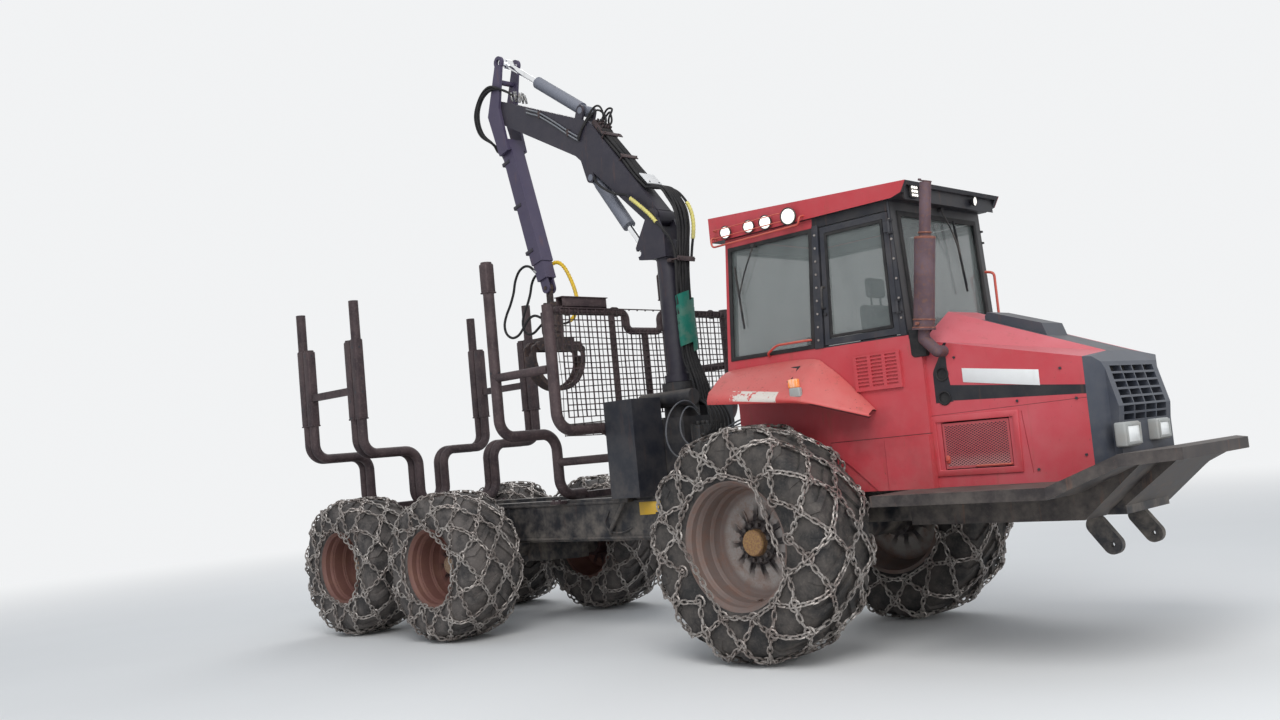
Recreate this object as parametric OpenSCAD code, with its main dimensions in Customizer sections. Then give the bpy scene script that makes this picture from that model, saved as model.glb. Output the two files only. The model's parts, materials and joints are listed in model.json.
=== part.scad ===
// Forestry forwarder: articulated six-wheeled log carrier with a crane.
// +X is the nose, +Y the left side, +Z up; the origin is on the ground under the middle.

/* [Wheels] */
// Front axle, forward of the middle of the machine
front_axle_x = 1550; // [1500:10:1600]
// Middle of each rear bogie, forward of the middle of the machine
bogie_x = -2797; // [-2830:1:-2760]
// Distance between the two wheels of a bogie
bogie_spacing = 1507; // [1480:1:1540]
// Half of the front track
front_half_track = 955; // [945:1:970]
// Half of the rear track
rear_half_track = 945; // [935:1:960]
// Front wheel radius, out to the chain
front_tip_r = 820; // [805:1:830]
// Rear wheel radius, out to the chain
rear_tip_r = 667; // [655:1:675]
// Radius that the chain stands above the tread
chain_h = 20; // [14:1:24]
// Width of every tyre
tyre_w = 600; // [580:2:620]
// Radius of the front rim under the tyre bead
front_rim_r = 432; // [425:1:440]
// Radius of the rear rim under the tyre bead
rear_rim_r = 336; // [330:1:342]

/* [Chassis] */
// Overall length, from the bumper to the rear crossbar
overall_l = 8700; // [8660:10:8760]
// Steering pivot, forward of the middle of the machine
pivot_x = 600; // [590:5:615]
// Height of the roll tube's centre line
roll_z = 830; // [820:5:840]
// Top of the rear frame's beams
beam_top = 1160; // [1140:5:1180]
// Depth of the rear frame's beams
beam_h = 360; // [320:5:380]
// Outer half width of the rear frame
beam_half_w = 455; // [440:5:460]

/* [Cab and hood] */
// Half width of the cab
cab_half_w = 600; // [590:2:608]
// Bottom of the side windows
sill_z = 2110; // [2090:5:2130]
// Underside of the roof
roof_z = 3045; // [3030:5:3060]
// Rear face of the cab at the sill
cab_rear_x = 1130; // [1120:5:1150]
// Front face of the cab at the sill
cab_front_x = 2708; // [2700:2:2720]
// Thickness of the cab's walls
wall_t = 40; // [30:2:44]
// Half width of the hood
hood_half_w = 560; // [540:5:570]
// Top of the hood where it meets the cab
hood_rear_z = 2277; // [2260:5:2290]
// Top of the hood at the nose
hood_front_z = 1878; // [1860:2:1890]

/* [Load space] */
// Diameter of the stakes' tubes
stake_d = 95; // [88:1:98]
// Half width between the stakes, at the tubes' centre lines
stake_half_w = 1100; // [1085:5:1105]
// Height of the stakes' tips
stake_top = 3260; // [3200:10:3300]
// Middle of the headboard
gate_x = -290; // [-300:5:-280]
// Height of the headboard's top tube
gate_top = 2780; // [2750:10:2800]
// Spacing of the headboard's wires
mesh_pitch = 100; // [90:5:120]

/* [Crane] */
// Middle of the crane's pillar
pillar_x = 70; // [60:5:80]
// Diameter of the pillar
pillar_d = 190; // [180:2:196]
// Height of the boom's lower pin
boom_pin_z = 3520; // [3500:5:3540]
// Width of the boom's box section
boom_w = 170; // [160:2:180]
// Side of the stick's box section
stick_w = 150; // [144:2:156]
// Wall of the stick and of its sliding inner box
stick_t = 10; // [8:1:12]
// Gap between the sliding box and the stick
slide_gap = 0.5; // [0.3:0.1:1]

/* [Hidden] */
$fn = 48;

// Clearances
pin_gap = 0.05;       // radial, pin in a bore
seat_gap = 0.3;       // curved faces and painted parts that only seat
side_gap = 6;         // beside a part that turns or slides

nose_x = overall_l / 2;
tail_x = -overall_l / 2;
mid_x = bogie_x + bogie_spacing / 2;
rear_x = bogie_x - bogie_spacing / 2;

module along_y(h, r, r2 = -1) {
    rotate([-90, 0, 0]) cylinder(h = h, r1 = r, r2 = r2 < 0 ? r : r2, center = true);
}
module along_x(h, r) { rotate([0, 90, 0]) cylinder(h = h, r = r, center = true); }
module box(x0, x1, y0, y1, z0, z1) { translate([x0, y0, z0]) cube([x1 - x0, y1 - y0, z1 - z0]); }
// A plate whose outline lies in the X-Z plane, between y0 and y1
module side_plate(points, y0, y1) {
    translate([0, y1, 0]) rotate([90, 0, 0]) linear_extrude(y1 - y0) polygon(points);
}
module both_sides() { children(); mirror([0, 1, 0]) children(); }

// Wheels
// column 0 is the share of the section height above the bead, column 1 the share of the half width
tyre_section = [[1, 0.62], [0.88, 0.92], [0.45, 1]];
tyre_sides = 24;
chain_n = 8;
rim_half = 262;
rim_wall = 12;
flange_h = 24;
chain_r = 11;
lug_n = 8;
lug_w = 80;
tread_lug_h = 24;

function tread_r(tip_r) = tip_r - chain_h;
function carcass_r(tip_r) = tread_r(tip_r) - tread_lug_h;

module bar(a, b, r) {
    d = b - a;
    len = norm(d);
    translate(a) rotate([0, acos(d[2] / len), atan2(d[1], d[0])]) cylinder(h = len, r = r, $fn = 4);
}

// A solid through rings of flat sides, each ring given as [place along Y, radius to its flats]
module ringed(rings, n) {
    m = len(rings);
    half_turn = 180 / n;
    points = [for (p = rings, k = [0:n - 1]) let (a = (2 * k + 1) * half_turn, r = p[1] / cos(half_turn))
        [r * sin(a), p[0], r * cos(a)]];
    ends = [[for (k = [0:n - 1]) k], [for (k = [0:n - 1]) m * n - 1 - k]];
    bands = [for (i = [0:m - 2], k = [0:n - 1])
        let (a = i * n + k, b = i * n + (k + 1) % n) [a, a + n, b + n, b]];
    polyhedron(points = points, faces = concat(ends, bands));
}

// A plain carcass with slanted lugs and the chain's net, kept to few faces
module tyre(tip_r, rim_r) {
    half = tyre_w / 2;
    bore = rim_r + seat_gap;
    bead_y = rim_half - rim_wall - seat_gap;
    edge = half * 0.6;
    side = concat([for (p = tyre_section) [p[1] * half, bore + p[0] * (carcass_r(tip_r) - bore)]],
        [[bead_y, bore + flange_h]]);
    rings = concat([for (i = [len(side) - 1:-1:0]) [-side[i][0], side[i][1]]], side);
    color("dimgray") difference() {
        union() {
            ringed(rings, tyre_sides);
            for (k = [0:lug_n - 1], s = [-1, 1])
                rotate([0, (k + s / 4) * 360 / lug_n, 0]) translate([0, s * half * 0.36, 0])
                    rotate([0, 0, s * 28]) box(-lug_w / 2, lug_w / 2, -half * 0.34, half * 0.34,
                        carcass_r(tip_r) - 30, tread_r(tip_r));
            r = tip_r - chain_r;
            for (k = [0:chain_n - 1], e = [-1, 1]) {
                a0 = (k + 0.5) * 360 / chain_n;
                a1 = (k + 1) * 360 / chain_n;
                bar([r * sin(a0), 0, r * cos(a0)], [r * sin(a1), e * edge, r * cos(a1)], chain_r);
            }
        }
        along_y(tyre_w + 10, bore);
    }
}

module rim(rim_r, disc_y, hub_r, bore_r) {
    wall = rim_wall;
    half = rim_half;
    color("rosybrown") {
        rotate([90, 0, 0]) rotate_extrude() polygon([
            [rim_r - wall, -half], [rim_r + flange_h, -half], [rim_r + flange_h, -half + wall],
            [rim_r, -half + wall], [rim_r, half - wall], [rim_r + flange_h, half - wall],
            [rim_r + flange_h, half], [rim_r - wall, half]]);
        // disc and planetary hub, turning on the axle's spindle
        difference() {
            union() {
                translate([0, disc_y, 0]) along_y(24, rim_r - wall / 2);
                translate([0, disc_y - 60, 0]) along_y(140, hub_r);
                translate([0, disc_y + 60, 0]) along_y(110, hub_r * 0.62);
            }
            translate([0, disc_y - 100, 0]) along_y(160, bore_r);
        }
    }
}

front_disc_y = -40;
rear_disc_y = -50;
front_spindle_r = 70;
rear_spindle_r = 60;

module front_rim(s) {
    translate([front_axle_x, s * front_half_track, front_tip_r]) scale_side(s)
        rim(front_rim_r, front_disc_y, 150, front_spindle_r + pin_gap);
}
module rear_rim(x, s) {
    translate([x, s * rear_half_track, rear_tip_r]) scale_side(s)
        rim(rear_rim_r, rear_disc_y, 130, rear_spindle_r + pin_gap);
}
module scale_side(s) { if (s > 0) children(); else mirror([0, 1, 0]) children(); }
module front_tyre(s) {
    translate([front_axle_x, s * front_half_track, front_tip_r]) tyre(front_tip_r, front_rim_r);
}
module rear_tyre(x, s) {
    translate([x, s * rear_half_track, rear_tip_r]) tyre(rear_tip_r, rear_rim_r);
}

// Front frame
chassis_half_w = 330;
step_z = 1040;
step_h = 70;
chassis_z0 = 880;
chassis_z1 = step_z + step_h;
housing_r = 120;
lug_r = 90;
joint_pin_r = 40;
lug_t = 50;
lug_z = [roll_z - 230, roll_z + 180];
chassis_rear_x = pivot_x + 190;
belly_front_x = nose_x - 450;

module front_chassis() {
    color([0.1, 0.1, 0.11]) {
        difference() {
            union() {
                both_sides() box(chassis_rear_x, belly_front_x, chassis_half_w - 60, chassis_half_w,
                    chassis_z0, chassis_z1);
                for (x = [chassis_rear_x, 2300, belly_front_x - 60])
                    box(x, x + 60, -chassis_half_w + 60, chassis_half_w - 60, chassis_z0, chassis_z1);
                // rear bulkhead that carries the two hitch lugs
                box(chassis_rear_x, chassis_rear_x + 60, -chassis_half_w, chassis_half_w,
                    lug_z[0], chassis_z0);
                for (z = lug_z) {
                    translate([pivot_x, 0, z]) cylinder(h = lug_t, r = lug_r);
                    box(pivot_x, chassis_rear_x, -lug_r, lug_r, z, z + lug_t);
                }
            }
            for (z = lug_z) translate([pivot_x, 0, z - 1])
                cylinder(h = lug_t + 2, r = joint_pin_r + pin_gap);
            // saddle that clamps the axle's housing
            translate([front_axle_x, 0, front_tip_r]) along_y(2 * chassis_half_w + 10, housing_r + seat_gap);
        }
    }
}

// Front axle: housing with a round differential and a spindle for each hub
differential_r = 210;
module front_axle() {
    hub_in = front_half_track + front_disc_y - 60 - 70;
    color([0.13, 0.13, 0.14]) translate([front_axle_x, 0, front_tip_r]) {
        along_y(2 * (hub_in - side_gap), housing_r);
        along_y(300, differential_r);
        along_y(2 * (hub_in + 90), front_spindle_r);
    }
}

// Side steps, bumper and belly pan
step_out = 1110;
step_x0 = 2610;
bend_x = nose_x - 570;
bend_front_x = nose_x - 200;
bumper_z = 1195;
// top of the deck along its slope
function deck_z(x) = step_z + step_h + (bumper_z - step_z) * max(0, x - bend_x) / (bend_front_x - bend_x);

bumper_out = 950;
bumper_front = 550;
belly_w = 300;
belly_tip_x = nose_x - 100;
module bumper_belly() {
    color([0.16, 0.12, 0.11]) {
        // deck: a folded profile, trimmed to its outline from above
        difference() {
            intersection() {
                side_plate([[step_x0, step_z], [bend_x, step_z], [bend_front_x, bumper_z], [nose_x, bumper_z],
                    [nose_x, bumper_z + step_h], [bend_front_x, bumper_z + step_h],
                    [bend_x, step_z + step_h], [step_x0, step_z + step_h]], -step_out, step_out);
                translate([0, 0, step_z - 1]) linear_extrude(bumper_z + step_h - step_z + 2)
                    polygon([[step_x0, -step_out], [bend_x, -step_out], [bend_front_x, -bumper_out],
                        [nose_x, -bumper_front], [nose_x, bumper_front], [bend_front_x, bumper_out],
                        [bend_x, step_out], [step_x0, step_out]]);
            }
            box(step_x0 - 10, belly_front_x + seat_gap, -chassis_half_w - seat_gap, chassis_half_w + seat_gap,
                step_z - 10, bumper_z);
        }
        // belly pan, rising to the bumper
        both_sides() side_plate([[step_x0, chassis_z0], [bend_x, chassis_z0], [bend_front_x, bumper_z],
            [bend_x, step_z], [step_x0, step_z]], chassis_half_w + 20, chassis_half_w + 20 + belly_w);
        side_plate([[belly_front_x + seat_gap, chassis_z0 + 50], [belly_tip_x, bumper_z],
            [bend_front_x, bumper_z], [belly_front_x + seat_gap, deck_z(belly_front_x) - step_h]],
            -chassis_half_w - 20, chassis_half_w + 20);
    }
}

// Two flat arms for a blade, hanging under the front
arm_y = 315;
arm_r = 60;
arm_top = [nose_x - 650, chassis_z0 - seat_gap - arm_r];
arm_end = [nose_x - 560, 700];
arm_t = 50;
arm_pin_r = 15;
module blade_arms() {
    color([0.08, 0.08, 0.09]) for (y = [-arm_y, arm_y]) difference() {
        hull_plate(arm_top, arm_end, arm_r, y - arm_t / 2, y + arm_t / 2);
        translate([arm_end[0], y, arm_end[1]]) along_y(arm_t + 10, arm_pin_r);
    }
}
// A straight bar with round ends, standing in the X-Z plane
module hull_plate(a, b, r, y0, y1) {
    d = b - a;
    len = norm(d);
    translate([a[0], y1, a[1]]) rotate([90, -atan2(d[1], d[0]), 0]) linear_extrude(y1 - y0)
        union() { circle(r); translate([0, -r]) square([len, 2 * r]); translate([len, 0]) circle(r); }
}

module engine_block() {
    color("dimgray") box(3050, nose_x - 550, -300, 300, chassis_z1, 1700);
}

// A solid between sections, each a place along X and a closed outline of [y, z] points.
// The outline goes out along its first half and back along its second.
module sheet_loft(sections) {
    n = len(sections[0][1]);
    m = len(sections);
    points = [for (s = sections, p = s[1]) [s[0], p[0], p[1]]];
    ends = [for (e = [0, m - 1], k = [0:n / 2 - 2])
        let (b = e * n, q = [b + k, b + k + 1, b + n - 2 - k, b + n - 1 - k])
            each e == 0 ? [[q[0], q[1], q[2]], [q[0], q[2], q[3]]] : [[q[2], q[1], q[0]], [q[3], q[2], q[0]]]];
    sides = [for (i = [0:m - 2], k = [0:n - 1])
        let (a = i * n + k, b = i * n + (k + 1) % n)
            each [[b, a, a + n], [b, a + n, b + n]]];
    polyhedron(points = points, faces = concat(ends, sides));
}

// Hood: folded shell over the engine, open below and closed behind
tub_front_x = 2790;
hood_x0 = tub_front_x + seat_gap;
hood_x1 = nose_x - 508;
hood_t = 25;
hood_z0 = step_z + step_h;
ridge_half = 200;
crease_drop = [200, 34];
panel_x = [2850, 3330];
panel_z = [1220, 1530];
panel_t = 20;
hinge_drop = 20;
panel_pin_r = 5;
port_r = 40;
port_z = [1686, 1843];
port_x = 2900;
scoop_x = [3030, 3450];
scoop_half = 150;
scoop_h = 85;
seam_w = 6;
function hood_z(x) = hood_rear_z + (hood_front_z - hood_rear_z) * (x - hood_x0) / (hood_x1 - hood_x0);
function crease_z(x) = hood_z(x) - crease_drop[0]
    + (crease_drop[0] - crease_drop[1]) * (x - hood_x0) / (hood_x1 - hood_x0);
// the hood's outline across at x, t inside its skin
function hood_section(x, t) = [
    [-hood_half_w + t, hood_z0 - (t > 0 ? 1 : 0)], [-hood_half_w + t, crease_z(x) - t],
    [-ridge_half, hood_z(x) - t], [ridge_half, hood_z(x) - t],
    [hood_half_w - t, crease_z(x) - t], [hood_half_w - t, hood_z0 - (t > 0 ? 1 : 0)]];
module hood_solid(x0, x1, t) {
    a = hood_section(x0, t);
    b = hood_section(x1, t);
    n = len(a);
    polyhedron(points = concat([for (p = a) [x0, p[0], p[1]]], [for (p = b) [x1, p[0], p[1]]]),
        faces = concat([[for (k = [0:n - 1]) n - 1 - k], [for (k = [0:n - 1]) n + k]],
            [for (k = [0:n - 1]) [k, (k + 1) % n, n + (k + 1) % n, n + k]]));
}
module hood() {
    color([0.72, 0.2, 0.2]) difference() {
        union() {
            hood_solid(hood_x0, hood_x1, 0);
            // air scoop on the ridge
            side_plate([[scoop_x[0], hood_z(scoop_x[0]) - 5], [scoop_x[1], hood_z(scoop_x[1]) - 5],
                [scoop_x[1] - 30, hood_z(scoop_x[1]) + scoop_h],
                [scoop_x[0] + 20, hood_z(scoop_x[0]) + scoop_h * 0.6],
                [scoop_x[0], hood_z(scoop_x[0]) + scoop_h * 0.3]], -scoop_half, scoop_half);
        }
        hood_solid(hood_x0 + hood_t, hood_x1 + 1, hood_t);
        // the deck rises under the hood's front
        side_plate([[bend_x, hood_z0 - 1], [hood_x1 + 1, hood_z0 - 1],
            [hood_x1 + 1, deck_z(hood_x1 + 1) + seat_gap], [bend_x, hood_z0 + seat_gap]],
            -hood_half_w - 1, hood_half_w + 1);
        both_sides() {
            box(panel_x[0], panel_x[1], hood_half_w - hood_t - 1, hood_half_w + 1, panel_z[0], panel_z[1]);
            // holes for the side panels' hinge pins
            translate([(panel_x[0] + panel_x[1]) / 2, hood_half_w - hood_t / 2, panel_z[1] - hinge_drop])
                along_x(panel_x[1] - panel_x[0] + 30, panel_pin_r + pin_gap);
            // two round ports behind, and the seam of the front panel
            for (z = port_z) translate([port_x, hood_half_w, z]) along_y(3 * hood_t, port_r);
            side_plate([[3414, 1556], [3414 + seam_w, 1556], [3450 + seam_w, 1172], [3450, 1172]],
                hood_half_w - seam_w, hood_half_w + 1);
        }
    }
}

// Nose: the hood's outline carried on, cut to a raked front with chamfered corners
nose_face_x = nose_x - 390;
nose_low_x = nose_x - 400;
nose_brow_x = nose_x - 456;
nose_brow_z = 1805;
nose_half = 400;
grille_half = 335;
grille_z = [1435, 1785];
grille_rows = 7;
grille_cols = 4;
grille_bar = 14;
module nose() {
    x0 = hood_x1 + seat_gap;
    pitch_y = 2 * grille_half / grille_cols;
    pitch_z = (grille_z[1] - grille_z[0]) / grille_rows;
    color([0.13, 0.14, 0.17]) difference() {
        intersection() {
            side_plate([[x0, deck_z(x0) + seat_gap], [nose_low_x, deck_z(nose_low_x) + seat_gap],
                [nose_low_x, 1430], [nose_face_x, 1530], [nose_brow_x, nose_brow_z], [x0, hood_z(x0)]],
                -hood_half_w, hood_half_w);
            translate([0, 0, hood_z0]) linear_extrude(1000) polygon([[x0, -hood_half_w], [x0 + 62, -nose_half],
                [nose_face_x + 1, -nose_half], [nose_face_x + 1, nose_half], [x0 + 62, nose_half],
                [x0, hood_half_w]]);
            hood_solid(x0, nose_face_x + 1, 0);
        }
        for (i = [0:grille_cols - 1], k = [0:grille_rows - 1])
            box(nose_brow_x - 3 * hood_t, nose_face_x + 5,
                -grille_half + i * pitch_y + grille_bar / 2, -grille_half + (i + 1) * pitch_y - grille_bar / 2,
                grille_z[0] + k * pitch_z + grille_bar / 2, grille_z[0] + (k + 1) * pitch_z - grille_bar / 2);
    }
}

// Cab: one side outline, drawn as [x, z], hollow inside
tub_rear_x = 1200;
cowl_z = 2070;
rear_lean = 95;
front_lean = 40;
lean_h = roof_z - cowl_z;
function rear_x_at(z) = cab_rear_x + rear_lean * (z - cowl_z) / lean_h;
function front_x_at(z) = cab_front_x - front_lean * (z - cowl_z) / lean_h;
cab_outline = [[tub_rear_x, chassis_z1], [tub_front_x, chassis_z1], [tub_front_x, cowl_z],
    [cab_front_x, cowl_z + 30], [front_x_at(roof_z), roof_z], [rear_x_at(roof_z), roof_z],
    [cab_rear_x, cowl_z], [tub_rear_x, 1790]];
cab_room = [[tub_rear_x + wall_t, chassis_z1 + wall_t], [tub_front_x - wall_t, chassis_z1 + wall_t],
    [tub_front_x - wall_t, cowl_z - wall_t], [cab_front_x - wall_t, cowl_z],
    [front_x_at(roof_z) - wall_t, roof_z + 1], [rear_x_at(roof_z) + wall_t, roof_z + 1],
    [cab_rear_x + wall_t, cowl_z], [tub_rear_x + wall_t, 1790]];
// a window's corners are [x, z]: rear low, front low, front high, rear high
function inset(q, i) = [[q[0][0] + i, q[0][1] + i], [q[1][0] - i, q[1][1] + i],
    [q[2][0] - i, q[2][1] - i], [q[3][0] + i, q[3][1] - i]];
pane = [[1190, sill_z + 40], [1940, sill_z + 40], [2014, 2962], [1262, 2962]];
door_gap = 8;
hinge_x = 2655;
doorway = [[2030, sill_z + 25], [hinge_x, sill_z + 25], [hinge_x, 2978], [2082, 2978]];
front_half = cab_half_w - 85;
front_pane_z = [sill_z + 40, 2968];
// hinge line of the doors, just outside the skin
knuckle_r = 12;
hinge_pin_r = 7;
hinge_y = cab_half_w + knuckle_r + 2;
knuckle_h = 70;
knuckle_z = [2290, 2830];
lug_h = 14;
module hinge_pins() {
    for (z = knuckle_z, e = [-lug_h - pin_gap, knuckle_h + pin_gap]) translate([hinge_x, 0, z + e]) {
        translate([0, hinge_y, 0]) cylinder(h = lug_h, r = knuckle_r);
        box(0, 30, cab_half_w - 1, hinge_y + knuckle_r / 2, 0, lug_h);
    }
    for (z = knuckle_z) translate([hinge_x, hinge_y, z - lug_h])
        cylinder(h = knuckle_h + 2 * lug_h, r = hinge_pin_r);
}
louvre_x = [2262, 2632];
louvre_z = [1790, 2035];
louvre_t = 20;
louvre_cols = 3;
louvre_rows = 9;
skirt_t = 18;
module louvres() {
    margin = 26;
    pitch_x = (louvre_x[1] - louvre_x[0] - margin) / louvre_cols;
    pitch_z = (louvre_z[1] - louvre_z[0] - margin) / louvre_rows;
    difference() {
        box(louvre_x[0], louvre_x[1], cab_half_w - 1, cab_half_w + louvre_t, louvre_z[0], louvre_z[1]);
        for (i = [0:louvre_cols - 1], k = [0:louvre_rows - 1])
            box(louvre_x[0] + margin + i * pitch_x, louvre_x[0] + (i + 1) * pitch_x,
                cab_half_w + louvre_t / 2, cab_half_w + louvre_t + 1,
                louvre_z[0] + margin + k * pitch_z, louvre_z[0] + margin + (k + 0.55) * pitch_z);
    }
}
module cab_body() {
    color([0.72, 0.2, 0.2]) {
        difference() {
            side_plate(cab_outline, -cab_half_w, cab_half_w);
            side_plate(cab_room, -cab_half_w + wall_t, cab_half_w - wall_t);
            side_plate(pane, -cab_half_w - 1, cab_half_w + 1);
            side_plate(doorway, -cab_half_w - 1, cab_half_w + 1);
            // front and rear windows
            box(cab_rear_x - 10, tub_front_x + 10, -front_half, front_half, front_pane_z[0], front_pane_z[1]);
        }
        both_sides() {
            hinge_pins();
            louvres();
            // skirt panels below the seam
            side_plate([[2444, chassis_z1], [2784, chassis_z1], [2784, 1455], [2444, 1455]],
                cab_half_w - 1, cab_half_w + skirt_t);
            side_plate([[2356, chassis_z1], [2438, chassis_z1], [2438, 1455], [2010, 1455],
                [2010, 1400], [2168, 1276]],
                cab_half_w - 1, cab_half_w + skirt_t * 0.6);
        }
    }
}

// Fenders: bent sheets from the cab's sides out over the front wheels
// column 0 is the place along X, 1 the height at the cab, 2 and 3 the shoulder, 4 and 5 the lower edge
fender_rows = [[1180, 2062, 900, 1905, 932, 1822], [1870, 2062, 908, 1788, 914, 1762],
    [2060, 2000, 868, 1758, 872, 1740], [2200, 1780, 800, 1705, 802, 1690]];
fender_t = 15;
function fender_section(r) = [r[0], [[cab_half_w + seat_gap, r[1]], [r[2], r[3]], [r[4], r[5]],
    [r[4] - fender_t, r[5]], [r[2] - fender_t, r[3] - fender_t], [cab_half_w + seat_gap, r[1] - fender_t]]];
intake_x = [1250, 1850];
intake_z = [1925, 2005];
module fenders() {
    color([0.7, 0.18, 0.18]) both_sides() difference() {
        sheet_loft([for (r = fender_rows) fender_section(r)]);
        // air intake in the slope
        box(intake_x[0], intake_x[1], cab_half_w + 40, cab_half_w + 400, intake_z[0], intake_z[1]);
    }
}

roof_x = [1110, 2832];
roof_half = 640;
visor_drop = 20;
module cab_roof() {
    z = roof_z + seat_gap;
    brow = 72;
    color([0.75, 0.18, 0.2]) difference() {
        side_plate([[roof_x[0], z], [roof_x[1] - 117, z], [roof_x[1] - 42, z + 23], [roof_x[1], z + brow + 25],
            [roof_x[0], z + 187]], -roof_half, roof_half);
        // recess for the lamps under the brow
        box(roof_x[1] - 52, roof_x[1] + 1, -cab_half_w, cab_half_w, z - 1, z + brow);
    }
    color([0.08, 0.08, 0.09]) side_plate([[roof_x[1] - 60, z + 5], [roof_x[1] - 40, z - visor_drop],
        [roof_x[1] - 40, z + brow], [roof_x[1] - 60, z + brow]], -cab_half_w + 2, cab_half_w - 2);
}

glass_t = 6;
module cab_glass() {
    mid = wall_t / 2;
    g = seat_gap;
    low = front_pane_z[0] + g;
    high = front_pane_z[1] - g;
    color([0.6, 0.7, 0.7, 0.4]) {
        both_sides() side_plate(inset(pane, g), cab_half_w - mid, cab_half_w - mid + glass_t);
        side_plate([[rear_x_at(low) + mid, low], [rear_x_at(low) + mid + glass_t, low],
            [rear_x_at(high) + mid + glass_t, high], [rear_x_at(high) + mid, high]],
            -front_half + g, front_half - g);
        side_plate([[front_x_at(low) - mid, low], [front_x_at(low) - mid + glass_t, low],
            [front_x_at(high) - mid + glass_t, high], [front_x_at(high) - mid, high]],
            -front_half + g, front_half - g);
    }
}

// Work lamps: four on each rear side of the roof and two under the brow
// column 0 is the place along X, column 1 the radius
side_lamps = [[1290, 48], [1515, 48], [1670, 52], [1880, 64]];
lamp_z = 3092;
lamp_t = 40;
brow_lamp_y = [-500, 285];
module work_lamps() {
    color("gold") both_sides() for (p = side_lamps)
        translate([p[0], roof_half + seat_gap + lamp_t / 2, lamp_z]) along_y(lamp_t, p[1]);
    color("gold") for (y = brow_lamp_y)
        translate([roof_x[1] - 40 + seat_gap + 18, y, roof_z + 36]) along_x(36, 32);
}

// Exhaust: a leaning stack with its silencer, turned down into the hood's side
stack_foot = [2854, 2152];
stack_tip = [2983, 3091];
stack_y = -640;
stack_r = 68;
pipe_r = 38;
silencer_l = 590;
elbow = [[2846, 2080], [2930, 1990]];
module exhaust() {
    d = stack_tip - stack_foot;
    lean = atan2(d[0], d[1]);
    leg = elbow[1] - elbow[0];
    color([0.36, 0.27, 0.25]) {
        translate([stack_foot[0], stack_y, stack_foot[1]]) rotate([0, lean, 0]) {
            cylinder(h = silencer_l, r = stack_r);
            translate([0, 0, -75]) cylinder(h = norm(d) + 75, r = pipe_r);
            translate([0, 0, -12]) cylinder(h = 12, r = stack_r + 8);
        }
        translate([elbow[0][0], stack_y, elbow[0][1]]) {
            sphere(r = pipe_r);
            rotate([0, 90 - atan2(leg[1], leg[0]), 0]) cylinder(h = norm(leg), r = pipe_r);
        }
        translate([elbow[1][0], stack_y, elbow[1][1]]) {
            sphere(r = pipe_r);
            rotate([-90, 0, 0]) cylinder(h = -stack_y - hood_half_w - seat_gap, r = pipe_r);
        }
    }
}

// Seat, turned to face the load
seat_x = 2100;
seat_z = 1900;
module seat() {
    color([0.2, 0.22, 0.26]) {
        box(seat_x - 490, seat_x, -230, 230, seat_z - 130, seat_z);
        box(seat_x - 60, seat_x + 60, -230, 230, seat_z - 130, seat_z + 560);
        box(seat_x - 40, seat_x + 40, -120, 120, seat_z + 560, seat_z + 750);
        translate([seat_x - 240, 0, cab_floor_in]) cylinder(h = seat_z - 130 - cab_floor_in, r = 110);
    }
}
cab_floor_in = chassis_z1 + wall_t;
module console() {
    color([0.12, 0.12, 0.13]) both_sides() box(seat_x - 450, seat_x - 50, 300, 400, cab_floor_in, seat_z + 180);
}

// Doors, hinged at their front edges
door_t = 34;
door_rail = 42;
module door_frame(s) {
    outer = inset(doorway, door_gap);
    x1 = hinge_x - door_gap;
    color([0.07, 0.07, 0.08]) scale_side(s) difference() {
        union() {
            difference() {
                side_plate(outer, cab_half_w - door_t, cab_half_w);
                side_plate(inset(outer, door_rail), cab_half_w - door_t - 1, cab_half_w + 1);
            }
            for (z = knuckle_z) {
                translate([hinge_x, hinge_y, z]) cylinder(h = knuckle_h, r = knuckle_r);
                box(x1 - 30, hinge_x, cab_half_w - 1, hinge_y + knuckle_r / 2, z, z + knuckle_h);
            }
        }
        for (z = knuckle_z) {
            translate([hinge_x, hinge_y, z - 1]) cylinder(h = knuckle_h + 2, r = hinge_pin_r + pin_gap);
            // room for the post beside the knuckle
            box(x1 + 4, hinge_x + knuckle_r, cab_half_w - 2, cab_half_w + 1.5, z - 1, z + knuckle_h + 1);
        }
    }
}
module door_pane(s) {
    color([0.6, 0.7, 0.7, 0.4]) scale_side(s)
        side_plate(inset(doorway, door_gap + door_rail + seat_gap), cab_half_w - 20, cab_half_w - 20 + glass_t);
}

// Engine side panels, hinged along their top edges
module side_panel(s) {
    mid_y = hood_half_w - hood_t / 2;
    color([0.72, 0.2, 0.2]) scale_side(s) {
        box(panel_x[0] + side_gap, panel_x[1] - side_gap, mid_y - panel_t / 2, mid_y + panel_t / 2,
            panel_z[0] + side_gap, panel_z[1] - hinge_drop + panel_t / 2);
        // hinge pin through the top edge, out into the hood
        translate([(panel_x[0] + panel_x[1]) / 2, mid_y, panel_z[1] - hinge_drop])
            along_x(panel_x[1] - panel_x[0] + 24, panel_pin_r);
    }
}

// Centre joint: block between the lugs, with the roll tube behind it
roll_r = 120;
ring_r = 150;
module centre_joint() {
    color([0.1, 0.1, 0.11]) {
        z0 = lug_z[0] + lug_t + side_gap;
        z1 = lug_z[1] - side_gap;
        translate([pivot_x, 0, z0]) cylinder(h = z1 - z0, r = 80);
        translate([pivot_x, 0, lug_z[0] - 20])
            cylinder(h = lug_z[1] + lug_t + 20 - lug_z[0] + 20, r = joint_pin_r);
        box(pivot_x - 160, pivot_x, -70, 70, roll_z - 120, roll_z + 120);
        translate([pivot_x - 160 - 10, 0, roll_z]) along_x(20, ring_r);
        translate([pivot_x - 180 - 100, 0, roll_z]) along_x(200, roll_r - pin_gap);
    }
}

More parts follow.
